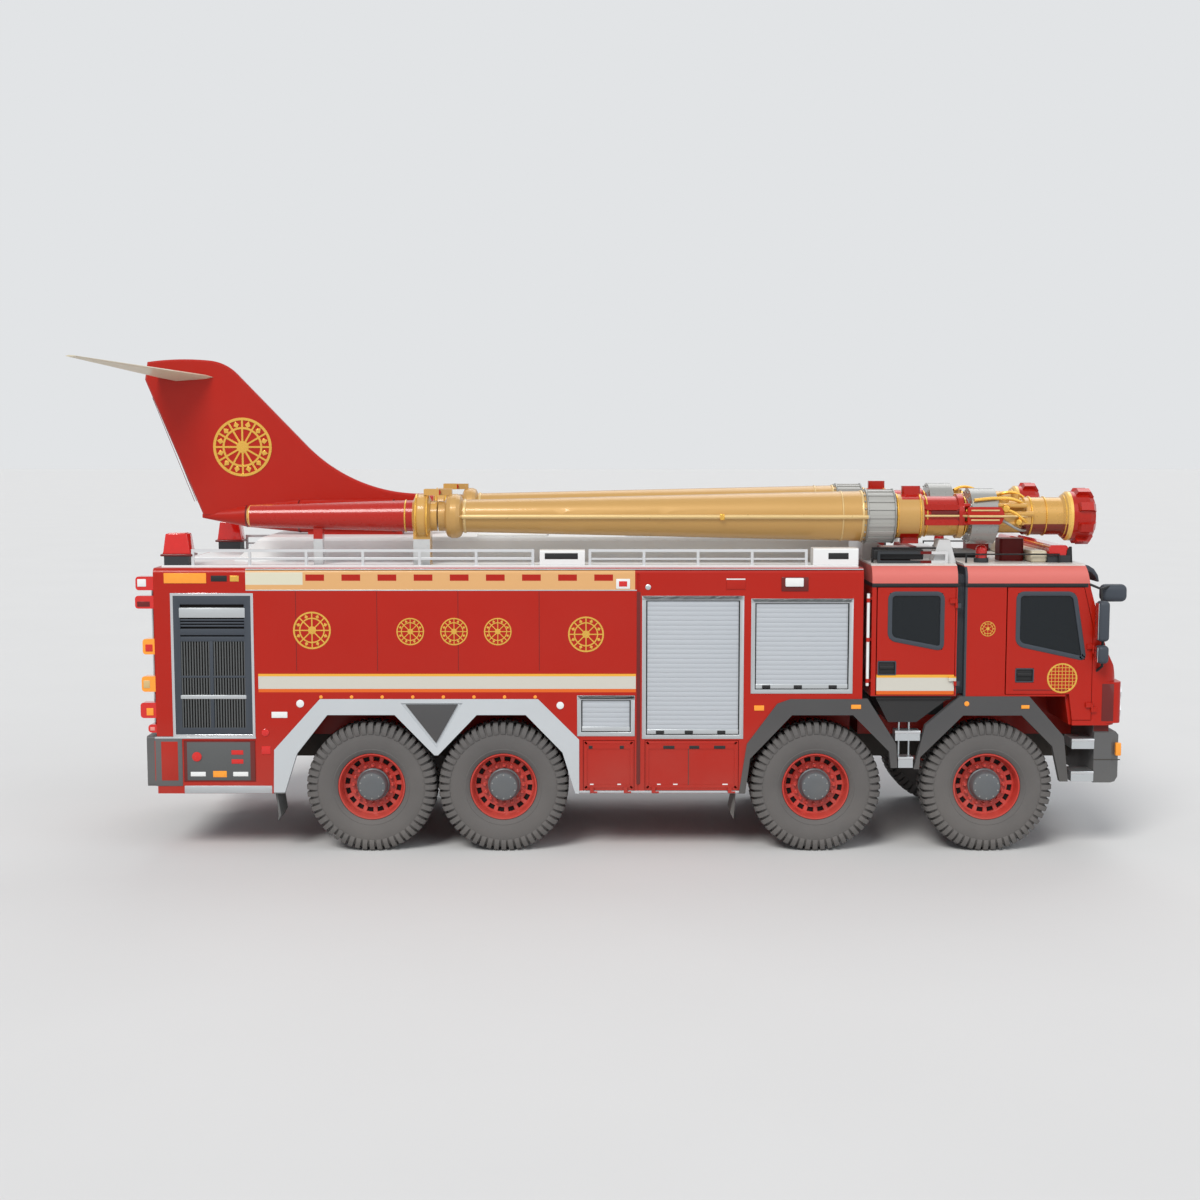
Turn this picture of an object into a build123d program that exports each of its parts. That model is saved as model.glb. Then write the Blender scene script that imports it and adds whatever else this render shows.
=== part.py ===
from build123d import *
import os
from math import cos, hypot, pi, sin

# Airport fire truck on eight wheels, with two roof booms and a tail fin.
# Millimetres. X points forward, Y to the truck's left, Z up. The origin lies on
# the ground under the middle of the overall length and width.

os.makedirs("parts", exist_ok=True)

# ---------------------------------------------------------------- overall sizes
FRONT_X = 5720.0          # foremost point, the kerb mirrors
REAR_X = -5720.0          # rearmost point, the tips of the tail plane
HALF_WIDTH = 1500.0       # body and cab, without mirrors
FIT = 0.3                 # air between curved faces that turn on each other
SEAM = 6.0                # gap round a door
CLEAR = 5.0               # least air round a moving piece

# ---------------------------------------------------------------- wheels, axles
FRONT_AXLE_X = 4250.0
SECOND_AXLE_X = 2370.0
THIRD_AXLE_X = -1060.0
TYRE_R = 715.0
TYRE_W = 430.0
TANDEM_GAP = 20.0         # air between the tyres of the two rear axles
REAR_AXLE_X = THIRD_AXLE_X - 2 * TYRE_R - TANDEM_GAP
HUB_Z = TYRE_R
WHEEL_Y = HALF_WIDTH - 235.0   # centre plane of the tyres
RIM_R = 370.0
KINGPIN_Y = WHEEL_Y - 115.0
STUB_R = 60.0
BEAM_R = 90.0

# name, X of the axle, steered
AXLES = (
    ("1", FRONT_AXLE_X, True),
    ("2", SECOND_AXLE_X, True),
    ("3", THIRD_AXLE_X, False),
    ("4", REAR_AXLE_X, False),
)
SIDES = (("right", -1), ("left", 1))

# ---------------------------------------------------------------- chassis frame
RAIL_Y = 430.0
RAIL_W = 90.0
RAIL_Z0 = 880.0
RAIL_Z1 = 1160.0
RAIL_X0 = -4840.0
RAIL_X1 = 5400.0
MEMBER_Z0 = RAIL_Z0 + 40.0
MEMBER_Z1 = RAIL_Z1 - 100.0
MEMBER_L = 90.0

# ---------------------------------------------------------------- body
BODY_X0 = RAIL_X0
BODY_X1 = 2856.0
BODY_Z0 = 655.0
BODY_SPLIT_Z = 1700.0
BODY_Z1 = 3130.0
BODY_ROUND = 60.0
SKIN = 70.0
TUNNEL_Y = 620.0          # half width of the space over the frame
BAY_Y = 900.0             # half width of the engine bay
BAY_WALL = 140.0
DECK_T = 20.0
DECK_Z = BODY_Z1 + DECK_T

REAR_WELL_X0 = REAR_AXLE_X - TYRE_R - 375.0
REAR_WELL_X1 = THIRD_AXLE_X + TYRE_R + 130.0
SECOND_WELL_X0 = SECOND_AXLE_X - TYRE_R - 115.0

# ---------------------------------------------------------------- cab
CREW_X0 = BODY_X1 + 94.0
CREW_X1 = CREW_X0 + 930.0
CAB_X0 = CREW_X1 + 80.0
NOSE_X = CAB_X0 + 1680.0
CAB_Z1 = BODY_Z1 + 40.0
CAB_FLOOR_Z0 = BODY_SPLIT_Z + 30.0
CAB_WALL = 60.0
CAB_FLOOR_Z1 = CAB_FLOOR_Z0 + CAB_WALL
CAB_BELLY_Y = 600.0
CAB_LOW_Z = 1410.0        # lower edge ahead of the front wheels
DOOR_Y0 = HALF_WIDTH - CAB_WALL
DOOR_TOP_Z = CAB_Z1 - 250.0
HINGE_Y = HALF_WIDTH + 18.0
HINGE_R = 14.0
GLASS_T = 8.0

# ---------------------------------------------------------------- booms
BOOM_Y = HALF_WIDTH - 350.0
BOOM_Z = 3680.0
BOOM_PIN_X = -1775.0
RING_R = 243.0
RING_W = 188.0
RING_GAP = 81.0           # from the pin's plane to each ring
BOOM_PIN_Z = BOOM_Z + RING_R + 19.0


def block(x0, x1, y0, y1, z0, z1):
    """A box between two corners."""
    middle = Pos((x0 + x1) / 2, (y0 + y1) / 2, (z0 + z1) / 2)
    return middle * Box(x1 - x0, y1 - y0, z1 - z0)


def rounded_block(x0, x1, y0, y1, z0, z1, axis, radius):
    """A box whose edges along one axis are rounded."""
    whole = block(x0, x1, y0, y1, z0, z1)
    return fillet(whole.edges().filter_by(axis), radius)


def side_plate(points, y0, y1):
    """A side-view outline of X, Z points, solid from y0 to y1."""
    outline = Polyline(*[(x, y0, z) for x, z in points], close=True)
    return extrude(make_face(outline), amount=y1 - y0, dir=(0, 1, 0))


def round_x(x0, x1, y, z, r):
    """A cylinder along X."""
    return Pos((x0 + x1) / 2, y, z) * Rot(0, 90, 0) * Cylinder(r, x1 - x0)


def round_y(x, y0, y1, z, r):
    """A cylinder along Y."""
    return Pos(x, (y0 + y1) / 2, z) * Rot(90, 0, 0) * Cylinder(r, y1 - y0)


def round_z(x, y, z0, z1, r):
    """A cylinder along Z."""
    return Pos(x, y, (z0 + z1) / 2) * Cylinder(r, z1 - z0)


def turned_x(profile, y, z):
    """A body turned about an axis along X, from X, radius points."""
    outline = Polyline(*[(x, 0, r) for x, r in profile], close=True)
    return Pos(0, y, z) * revolve(make_face(outline), Axis.X)


def rod(start, end, r):
    """A round bar between two points."""
    way = Vector(*end) - Vector(*start)
    plane = Plane(origin=start, z_dir=way)
    return plane * Pos(0, 0, way.length / 2) * Cylinder(r, way.length)


def mirrored(shape):
    """The left-hand twin of a right-hand shape."""
    return mirror(shape, about=Plane.XZ)


def both(shape):
    """A right-hand shape and its mirror image on the left."""
    return [shape, mirrored(shape)]


def save(name, *shapes):
    """Write one node from loose shapes and lists of shapes."""
    solids = []
    for shape in shapes:
        for one in shape if isinstance(shape, (list, tuple)) else [shape]:
            solids.extend(one.solids())
    whole = solids[0] if len(solids) == 1 else Compound(solids)
    export_step(whole, f"parts/{name}.step")


# ================================================================ wheels
TREAD_R = TYRE_R - 28.0   # bottom of the grooves between the bars
LUGS = 26                 # tread bars round one tyre
LUG_SHARE = 0.58          # part of each pitch that is rubber
BAR_Y = TYRE_W / 2 - 12.0
SHOULDER_L = 70.0         # shoulder bevel down the sidewall and across the tread
SHOULDER_W = 22.0
# rim section: distance out from the centre plane, radius
RIM_SECTION = (
    (-165.0, RIM_R - FIT),
    (-165.0, 345.0),
    (20.0, 330.0),
    (-20.0, STUB_R + FIT),
    (100.0, STUB_R + FIT),
    (100.0, 0.0),
    (175.0, 0.0),
    (175.0, 158.0),
    (30.0, 170.0),
    (60.0, 330.0),
    (165.0, 350.0),
    (165.0, RIM_R - FIT),
)


def turned_y(section):
    """A body turned about the world's Y axis, from Y, radius points."""
    outline = Polyline(*[(r, out, 0) for out, r in section], close=True)
    return revolve(make_face(outline), Axis.Y)


def tread_outline():
    """The bars seen from the side, with straight runs between them."""
    points = []
    for step in range(LUGS):
        for turn, r in ((0, TYRE_R), (LUG_SHARE, TYRE_R), (LUG_SHARE, TREAD_R), (1, TREAD_R)):
            angle = 2 * pi * (step + turn - LUG_SHARE / 2) / LUGS - pi / 2
            points.append((r * cos(angle), r * sin(angle)))
    return points


def gon(r, turn=0.5):
    """Corners of an even polygon with as many sides as there are bars."""
    angles = [2 * pi * (step + turn) / LUGS - pi / 2 for step in range(LUGS)]
    return [(r * cos(angle), r * sin(angle)) for angle in angles]


def bevelled(shape, side):
    """The carcass with one shoulder bevelled."""
    face = shape.faces().sort_by(Axis.Y)[0 if side < 0 else -1]
    return chamfer(face.edges(), SHOULDER_L, SHOULDER_W, reference=face)


tyre = side_plate(gon(TREAD_R), -TYRE_W / 2, TYRE_W / 2)
tyre = bevelled(bevelled(tyre, -1), 1)
tyre += side_plate(tread_outline(), -BAR_Y, BAR_Y)
tyre -= side_plate(gon(RIM_R / cos(pi / LUGS)), -TYRE_W, TYRE_W)
for axle, axle_x, steered in AXLES:
    for side_name, side in SIDES:
        place = Pos(axle_x, side * WHEEL_Y, HUB_Z)
        rim = turned_y([(side * out, r) for out, r in RIM_SECTION])
        save(f"tyre_{axle}_{side_name}", place * tyre)
        save(f"rim_{axle}_{side_name}", place * rim)

# ================================================================ axles
KNUCKLE_R = 60.0
KNUCKLE_H = 150.0         # half height of the knuckle on its kingpin
YOKE_T = 45.0
YOKE_W = 55.0             # half width of the yoke
YOKE_H = KNUCKLE_H + CLEAR + YOKE_T
PIN_R = 25.0
STUB_END_Y = WHEEL_Y + 95.0
SPRING_L = 520.0          # half length of a leaf spring
SPRING_T = 40.0
SPRING_SAG = 30.0
DIFF_R = 200.0
DIFF_L = 190.0


def leaf_spring(axle_x, y0, y1):
    """A bowed leaf pack that hangs from the rail by its two flat ends."""
    top = RAIL_Z0
    low = RAIL_Z0 - SPRING_SAG
    return side_plate(
        (
            (axle_x - SPRING_L, top),
            (axle_x - SPRING_L + 60.0, top),
            (axle_x, low),
            (axle_x + SPRING_L - 60.0, top),
            (axle_x + SPRING_L, top),
            (axle_x + SPRING_L, top - SPRING_T),
            (axle_x, low - SPRING_T),
            (axle_x - SPRING_L, top - SPRING_T),
        ),
        y0,
        y1,
    )


axle_shapes = []
for axle, axle_x, steered in AXLES:
    beam_end = KINGPIN_Y - 175.0 if steered else WHEEL_Y - 60.0
    beam = round_y(axle_x, -beam_end, beam_end, HUB_Z, BEAM_R)
    beam += turned_x(((-DIFF_L, 0), (-DIFF_L, 110.0), (-90.0, DIFF_R), (90.0, DIFF_R), (DIFF_L, 110.0),
                      (DIFF_L, 0)), 0, HUB_Z).moved(Location((axle_x, 0, 0)))
    for side_name, side in SIDES:
        y0, y1 = sorted((side * (RAIL_Y - RAIL_W / 2), side * (RAIL_Y + RAIL_W / 2)))
        beam += leaf_spring(axle_x, y0, y1)
        beam += block(axle_x - 80.0, axle_x + 80.0, y0, y1, HUB_Z, RAIL_Z0 - SPRING_SAG - 10.0)
        if not steered:
            y0, y1 = sorted((side * (beam_end - 20.0), side * STUB_END_Y))
            beam += round_y(axle_x, y0, y1, HUB_Z, STUB_R)
            continue
        y0, y1 = sorted((side * (beam_end - 20.0), side * (beam_end + 20.0)))
        beam += block(axle_x - YOKE_W, axle_x + YOKE_W, y0, y1, HUB_Z - YOKE_H, HUB_Z + YOKE_H)
        y0, y1 = sorted((side * beam_end, side * (KINGPIN_Y + 45.0)))
        for z0 in (HUB_Z - YOKE_H, HUB_Z + YOKE_H - YOKE_T):
            beam += block(axle_x - YOKE_W, axle_x + YOKE_W, y0, y1, z0, z0 + YOKE_T)
        kingpin_y = side * KINGPIN_Y
        beam += round_z(axle_x, kingpin_y, HUB_Z - YOKE_H + 25.0, HUB_Z + YOKE_H - 25.0, PIN_R)
        knuckle = round_z(axle_x, kingpin_y, HUB_Z - KNUCKLE_H, HUB_Z + KNUCKLE_H, KNUCKLE_R)
        y0, y1 = sorted((kingpin_y, side * STUB_END_Y))
        knuckle += round_y(axle_x, y0, y1, HUB_Z, STUB_R)
        knuckle -= round_z(axle_x, kingpin_y, HUB_Z - YOKE_H, HUB_Z + YOKE_H, PIN_R + FIT)
        save(f"knuckle_{axle}_{side_name}", knuckle)
    axle_shapes.append(beam)
save("axles", axle_shapes)

# ================================================================ chassis frame
TOW_R = 20.0
TOW_X = RAIL_X0 - 60.0    # rear towing pin
JAW_T = 30.0
MEMBER_XS = (
    RAIL_X0,
    REAR_AXLE_X - 1000.0,
    (REAR_AXLE_X + THIRD_AXLE_X) / 2 - MEMBER_L / 2,
    THIRD_AXLE_X + 900.0,
    SECOND_AXLE_X - 900.0,
    (SECOND_AXLE_X + FRONT_AXLE_X) / 2 - MEMBER_L / 2,
    FRONT_AXLE_X + 500.0,
    RAIL_X1 - MEMBER_L,
)
rail = block(RAIL_X0, RAIL_X1, -RAIL_Y - RAIL_W / 2, -RAIL_Y + RAIL_W / 2, RAIL_Z0, RAIL_Z1)
chassis = rail + mirrored(rail)
for x in MEMBER_XS:
    chassis += block(x, x + MEMBER_L, -RAIL_Y, RAIL_Y, MEMBER_Z0, MEMBER_Z1)
for z0 in (MEMBER_Z0, MEMBER_Z1 - JAW_T):
    chassis += block(TOW_X - 50.0, RAIL_X0, -50.0, 50.0, z0, z0 + JAW_T)
chassis -= round_z(TOW_X, 0, MEMBER_Z0 - 10.0, MEMBER_Z1 + 10.0, TOW_R)
save("chassis_frame", chassis)

ENGINE_X0 = RAIL_X0 + 190.0
ENGINE_X1 = REAR_AXLE_X - 900.0
ENGINE_Y = RAIL_Y - RAIL_W / 2 - 15.0
save("engine_block", block(ENGINE_X0, ENGINE_X1, -ENGINE_Y, ENGINE_Y, MEMBER_Z1, BODY_SPLIT_Z - 20.0))

# ================================================================ wheel arches
# outlines as X, Z points, each X counted from an axle
REAR_ARCH_OUT = (
    (REAR_AXLE_X - 1062.0, BODY_Z0),
    (REAR_AXLE_X - 1050.0, 1140.0),
    (REAR_AXLE_X - 544.0, BODY_SPLIT_Z),
    (THIRD_AXLE_X + 384.0, BODY_SPLIT_Z),
    (THIRD_AXLE_X + 832.0, 1252.0),
    (THIRD_AXLE_X + 832.0, BODY_Z0),
)
REAR_ARCH_IN = (
    (REAR_AXLE_X - 945.0, BODY_Z0),
    (REAR_AXLE_X - 803.0, 1096.0),
    (REAR_AXLE_X - 465.0, 1525.0),
    (REAR_AXLE_X + 270.0, 1525.0),
    (REAR_AXLE_X + 700.0, 1080.0),
    (THIRD_AXLE_X - 710.0, 1080.0),
    (THIRD_AXLE_X - 285.0, 1525.0),
    (THIRD_AXLE_X + 250.0, 1525.0),
    (THIRD_AXLE_X + 650.0, 1110.0),
    (THIRD_AXLE_X + 790.0, BODY_Z0),
)
SECOND_ARCH_OUT = (
    (SECOND_AXLE_X - 850.0, BODY_Z0),
    (SECOND_AXLE_X - 766.0, 1205.0),
    (SECOND_AXLE_X - 437.0, 1650.0),
    (SECOND_AXLE_X - 296.0, BODY_SPLIT_Z),
    (SECOND_AXLE_X + 549.0, BODY_SPLIT_Z),
    (SECOND_AXLE_X + 866.0, 1205.0),
    (SECOND_AXLE_X + 881.0, 940.0),
)
SECOND_ARCH_IN = (
    (SECOND_AXLE_X - 780.0, BODY_Z0),
    (SECOND_AXLE_X - 730.0, 1042.0),
    (SECOND_AXLE_X - 275.0, 1523.0),
    (SECOND_AXLE_X + 390.0, 1523.0),
    (SECOND_AXLE_X + 790.0, 1120.0),
    (SECOND_AXLE_X + 811.0, 940.0),
)
FRONT_ARCH_OUT = (
    (FRONT_AXLE_X - 820.0, 927.0),
    (FRONT_AXLE_X - 700.0, 1411.0),
    (FRONT_AXLE_X - 330.0, CAB_FLOOR_Z0),
    (FRONT_AXLE_X + 427.0, CAB_FLOOR_Z0),
    (FRONT_AXLE_X + 815.0, 1287.0),
    (FRONT_AXLE_X + 870.0, 790.0),
)
FRONT_ARCH_IN = (
    (FRONT_AXLE_X - 760.0, 927.0),
    (FRONT_AXLE_X - 750.0, 1060.0),
    (FRONT_AXLE_X - 290.0, 1520.0),
    (FRONT_AXLE_X + 350.0, 1520.0),
    (FRONT_AXLE_X + 690.0, 1180.0),
    (FRONT_AXLE_X + 780.0, 790.0),
)
ARCH_Y0 = HALF_WIDTH - SKIN
ARCH_Y1 = HALF_WIDTH + 10.0
WEDGE_IN = 14.0           # depth of the panel between the rear wheels



def arch_ring(outer, inner):
    """A right-hand arch panel between two outlines."""
    return side_plate((*outer, *reversed(inner)), -ARCH_Y1, -ARCH_Y0)


middle_x = (REAR_AXLE_X + THIRD_AXLE_X) / 2
wedge = ((middle_x - 385.0, 1655.0), (middle_x, 1165.0), (middle_x + 285.0, 1655.0))
rear_ring = arch_ring(REAR_ARCH_OUT, REAR_ARCH_IN)
rear_ring -= side_plate(wedge, -ARCH_Y1 - 1.0, -ARCH_Y1 + WEDGE_IN)
second_ring = arch_ring(SECOND_ARCH_OUT, SECOND_ARCH_IN)
front_ring = arch_ring(FRONT_ARCH_OUT, FRONT_ARCH_IN)

FLAP_T = 12.0
rear_flap = side_plate(
    (
        (REAR_WELL_X0, 900.0),
        (REAR_WELL_X0 + FLAP_T, 900.0),
        (REAR_WELL_X0 + FLAP_T + 75.0, 400.0),
        (REAR_WELL_X0 + FLAP_T + 40.0, 330.0),
        (REAR_WELL_X0 + 60.0, 400.0),
    ),
    -HALF_WIDTH + 75.0,
    -HALF_WIDTH + 480.0,
)
second_flap = side_plate(
    (
        (SECOND_WELL_X0 - 60.0, BODY_Z0),
        (SECOND_WELL_X0 - 60.0 + FLAP_T, BODY_Z0),
        (SECOND_WELL_X0 - 80.0 + FLAP_T, 350.0),
        (SECOND_WELL_X0 - 105.0, 420.0),
    ),
    -HALF_WIDTH + 75.0,
    -HALF_WIDTH + 480.0,
)
save("rear_arches", both(rear_ring), both(rear_flap))
save("front_arches", both(second_ring), both(front_ring), both(second_flap))

# ================================================================ body
MID_X0 = REAR_WELL_X1
# roller shutters: X0, X1, Z0, Z1 of the frames
SHUTTERS = (
    (MID_X0 - 35.0, MID_X0 + 595.0, 1290.0, 1740.0),
    (MID_X0 + 671.0, MID_X0 + 1779.0, 1260.0, 2830.0),
    (MID_X0 + 1855.0, MID_X0 + 2965.0, 1760.0, 2800.0),
)
# drop-down lockers: name, X0, X1
LOCKERS = (
    ("a", MID_X0 + 35.0, MID_X0 + 585.0),
    ("b", MID_X0 + 710.0, MID_X0 + 1725.0),
)
LOCKER_Z0 = BODY_Z0 + 35.0
LOCKER_Z1 = LOCKER_Z0 + 550.0
LOCKER_Y0 = HALF_WIDTH - 400.0
LOCKER_T = 40.0
LOCKER_LIP = 20.0
LOCKER_PIN_Y = HALF_WIDTH + 16.0
LOCKER_PIN_Z = LOCKER_Z0 - 18.0
LOCKER_EYE_R = 10.0
LOCKER_PIN_R = 5.0
EYE_W = 40.0
POCKET = 50.0
# side grille and the service panel under it: X0, X1, Z0, Z1
GRILLE = (BODY_X0 + 180.0, BODY_X0 + 1080.0, 1280.0, 2860.0)
PANEL = (BODY_X0 + 290.0, BODY_X0 + 1080.0, 780.0, 1245.0)
PANEL_IN = 12.0
POST_X = MID_X0 + 620.0   # upright joint between the body's panels
POST_IN = 10.0


def hinge_places(x0, x1):
    """X where each of a locker door's two hinge eyes starts."""
    return x0 + 70.0, x1 - 70.0 - EYE_W


def face_pocket(row, depth):
    """A pocket in the right-hand face of the body."""
    x0, x1, z0, z1 = row
    return block(x0, x1, -HALF_WIDTH - 20.0, -HALF_WIDTH + depth, z0, z1)


upper = block(BODY_X0, BODY_X1, -HALF_WIDTH, HALF_WIDTH, BODY_SPLIT_Z, BODY_Z1)
rear_lower = block(BODY_X0, REAR_WELL_X0, -ARCH_Y0, ARCH_Y0, BODY_Z0, BODY_SPLIT_Z)
rear_skin = side_plate(((BODY_X0, BODY_Z0), *REAR_ARCH_OUT[:3], (BODY_X0, BODY_SPLIT_Z)),
                       -HALF_WIDTH, -ARCH_Y0)
rear_lower = rear_lower + rear_skin + mirrored(rear_skin)
rear_lower -= block(BODY_X0 + BAY_WALL, REAR_WELL_X0 + 1.0, -BAY_Y, BAY_Y,
                    BODY_Z0 - 1.0, BODY_SPLIT_Z + 1.0)
rear_lower -= block(BODY_X0 - 1.0, BODY_X0 + BAY_WALL + 1.0, -TUNNEL_Y, TUNNEL_Y,
                    BODY_Z0 - 1.0, RAIL_Z1)
middle_lower = block(REAR_WELL_X1, SECOND_WELL_X0, -ARCH_Y0, -TUNNEL_Y, BODY_Z0, BODY_SPLIT_Z)
middle_lower += side_plate((*REAR_ARCH_OUT[:2:-1], *SECOND_ARCH_OUT[3::-1]), -HALF_WIDTH, -ARCH_Y0)
for name, x0, x1 in LOCKERS:
    middle_lower -= block(x0 - SEAM, x1 + SEAM, -HALF_WIDTH - 1.0, -HALF_WIDTH + LOCKER_T + CLEAR,
                          LOCKER_Z0 - SEAM, LOCKER_Z1 + SEAM)
    middle_lower -= block(x0 + LOCKER_LIP, x1 - LOCKER_LIP, -HALF_WIDTH, -LOCKER_Y0,
                          LOCKER_Z0 + LOCKER_LIP, LOCKER_Z1 - LOCKER_LIP)
    for x in hinge_places(x0, x1):
        y = -LOCKER_PIN_Y
        middle_lower += round_x(x + EYE_W + 1.0, x + 2 * EYE_W, y, LOCKER_PIN_Z, LOCKER_EYE_R)
        middle_lower += round_x(x, x + EYE_W + 2.0, y, LOCKER_PIN_Z, LOCKER_PIN_R)
        middle_lower += block(x + EYE_W + 1.0, x + 2 * EYE_W, y, -HALF_WIDTH + 1.0,
                              LOCKER_PIN_Z - 8.0, LOCKER_PIN_Z + 8.0)
upper = fillet(upper.edges().filter_by(Axis.X).group_by(Axis.Z)[-1], BODY_ROUND)
for row in (*SHUTTERS, GRILLE):
    pocket = face_pocket(row, POCKET)
    middle_lower -= pocket
    upper = upper - pocket - mirrored(pocket)
    rear_lower = rear_lower - pocket - mirrored(pocket)
panel = face_pocket(PANEL, PANEL_IN)
rear_lower = rear_lower - panel - mirrored(panel)
joint = face_pocket((POST_X, POST_X + 25.0, BODY_Z0 - 1.0, BODY_Z1 - BODY_ROUND), POST_IN)
middle_lower -= joint
upper = upper - joint - mirrored(joint)
saddle = block(ENGINE_X1 + 60.0, BODY_X1, -TUNNEL_Y, TUNNEL_Y, RAIL_Z1, BODY_SPLIT_Z)
save("body_upper", upper)
save("body_lower", rear_lower, both(middle_lower), saddle)

# roller shutters: frame, slatted curtain and bottom bar
SLAT = 75.0
FRAME_W = 45.0
CURTAIN_IN = 20.0
shutter_shapes = []
for x0, x1, z0, z1 in SHUTTERS:
    shutter = block(x0, x1, -HALF_WIDTH - 6.0, -HALF_WIDTH + POCKET, z0, z1)
    shutter -= block(x0 + FRAME_W, x1 - FRAME_W, -HALF_WIDTH - 7.0, -HALF_WIDTH + CURTAIN_IN,
                     z0 + 20.0, z1 - FRAME_W)
    shutter += block(x0 + FRAME_W, x1 - FRAME_W, -HALF_WIDTH + 5.0, -HALF_WIDTH + CURTAIN_IN,
                     z0 + 20.0, z0 + 90.0)
    shutter_shapes.extend(both(shutter))
save("roller_shutters", shutter_shapes)

# locker doors, hinged along their lower edge
def locker_door(x0, x1):
    """A right-hand locker door with a shallow panel and two hinge eyes."""
    door = block(x0, x1, -HALF_WIDTH, -HALF_WIDTH + LOCKER_T, LOCKER_Z0, LOCKER_Z1)
    door -= block(x0 + 40.0, x1 - 40.0, -HALF_WIDTH - 1.0, -HALF_WIDTH + 6.0,
                  LOCKER_Z0 + 60.0, LOCKER_Z1 - 90.0)
    for x in hinge_places(x0, x1):
        door += block(x, x + EYE_W, -LOCKER_PIN_Y - 8.0, -LOCKER_PIN_Y + LOCKER_EYE_R,
                      LOCKER_PIN_Z, LOCKER_Z0 + 40.0)
        door += block(x, x + EYE_W, -LOCKER_PIN_Y, -HALF_WIDTH, LOCKER_Z0, LOCKER_Z0 + 40.0)
        door += round_x(x, x + EYE_W, -LOCKER_PIN_Y, LOCKER_PIN_Z, LOCKER_EYE_R)
        door -= round_x(x - 1.0, x + EYE_W + 1.0, -LOCKER_PIN_Y, LOCKER_PIN_Z, LOCKER_PIN_R + FIT)
    return door


for name, x0, x1 in LOCKERS:
    door = locker_door(x0, x1)
    save(f"locker_{name}_right", door)
    save(f"locker_{name}_left", mirrored(door))

# side grilles: two louvres over two rows of upright bars
GRILLE_EDGE = 110.0
GRILLE_IN = 30.0
BARS = 14
BAR_W = 20.0
# windows: Z0, Z1, count of bars, bars upright
GRILLE_WINDOWS = (
    (1370.0, 1660.0, BARS, True),
    (1720.0, 2310.0, BARS, True),
    (2360.0, 2470.0, 1, False),
    (2560.0, 2760.0, 2, False),
)
x0, x1, z0, z1 = GRILLE
grille = block(x0, x1, -HALF_WIDTH - 8.0, -HALF_WIDTH + POCKET, z0, z1)
for w0, w1, count, upright in GRILLE_WINDOWS:
    a0 = x0 + GRILLE_EDGE
    a1 = x1 - GRILLE_EDGE
    grille -= block(a0, a1, -HALF_WIDTH - 9.0, -HALF_WIDTH + GRILLE_IN, w0, w1)
    for step in range(count):
        share = (step + 0.5) / count
        if upright:
            x = a0 + share * (a1 - a0)
            grille += block(x - BAR_W / 2, x + BAR_W / 2, -HALF_WIDTH, -HALF_WIDTH + GRILLE_IN, w0, w1)
        else:
            z = w0 + share * (w1 - w0)
            grille += block(a0, a1, -HALF_WIDTH - 4.0, -HALF_WIDTH + GRILLE_IN, z - 22.0, z + 22.0)
save("side_grilles", both(grille))

# ================================================================ roof
CASING_Y = 700.0
CASING_Z = DECK_Z + 268.0
DECK_X0 = BODY_X0 + 80.0
DECK_X1 = BODY_X1 - 50.0
deck = block(DECK_X0, DECK_X1, -HALF_WIDTH + 70.0, HALF_WIDTH - 70.0, BODY_Z1, DECK_Z)
casing = side_plate(
    ((BODY_X0 + 710.0, DECK_Z), (BODY_X0 + 1020.0, CASING_Z), (DECK_X1, CASING_Z), (DECK_X1, DECK_Z)),
    -CASING_Y,
    CASING_Y,
)
casing = chamfer(casing.edges().filter_by(Axis.X).group_by(Axis.Z)[-1], 40.0)
crew_casing = side_plate(
    (
        (CREW_X0 + 10.0, CAB_Z1),
        (CREW_X0 + 10.0, CASING_Z),
        (CREW_X0 + 60.0, CASING_Z),
        (CREW_X0 + 520.0, CAB_Z1),
    ),
    -CASING_Y,
    CASING_Y,
)
# low boxes on the deck's edges: X0, X1, Y0, Y1, height
DECK_BOXES = (
    (MID_X0 - 440.0, MID_X0 + 50.0, -HALF_WIDTH + 80.0, -HALF_WIDTH + 250.0, 170.0),
    (BODY_X1 - 540.0, DECK_X1, -HALF_WIDTH + 80.0, -HALF_WIDTH + 320.0, 190.0),
)
deck_whole = deck + casing
for x0, x1, y0, y1, height in DECK_BOXES:
    box = rounded_block(x0, x1, y0, y1, DECK_Z, DECK_Z + height, Axis.X, 18.0)
    deck_whole = deck_whole + box + mirrored(box)
save("roof_deck", deck_whole, crew_casing)

ROOF_RAIL_Y = HALF_WIDTH - 100.0
ROOF_RAIL_T = 15.0        # half thickness of the top rail
ROOF_RAIL_H = 180.0
POST_STEP = 600.0
rails = []
# X0, X1 of each length of side rail
for x0, x1 in ((BODY_X0 + 400.0, MID_X0 - 500.0), (MID_X0 + 90.0, BODY_X1 - 600.0)):
    top = DECK_Z + ROOF_RAIL_H
    run = block(x0, x1, -ROOF_RAIL_Y - ROOF_RAIL_T, -ROOF_RAIL_Y + ROOF_RAIL_T, top - 30.0, top)
    run += block(x0, x1, -ROOF_RAIL_Y - 10.0, -ROOF_RAIL_Y + 10.0, DECK_Z + 65.0, DECK_Z + 85.0)
    count = max(2, round((x1 - x0) / POST_STEP) + 1)
    for step in range(count):
        x = x0 + ROOF_RAIL_T + step * (x1 - x0 - 2 * ROOF_RAIL_T) / (count - 1)
        run += block(x - ROOF_RAIL_T, x + ROOF_RAIL_T, -ROOF_RAIL_Y - ROOF_RAIL_T,
                     -ROOF_RAIL_Y + ROOF_RAIL_T, DECK_Z, top - 15.0)
    rails.extend(both(run))
save("roof_rails", rails)

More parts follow.
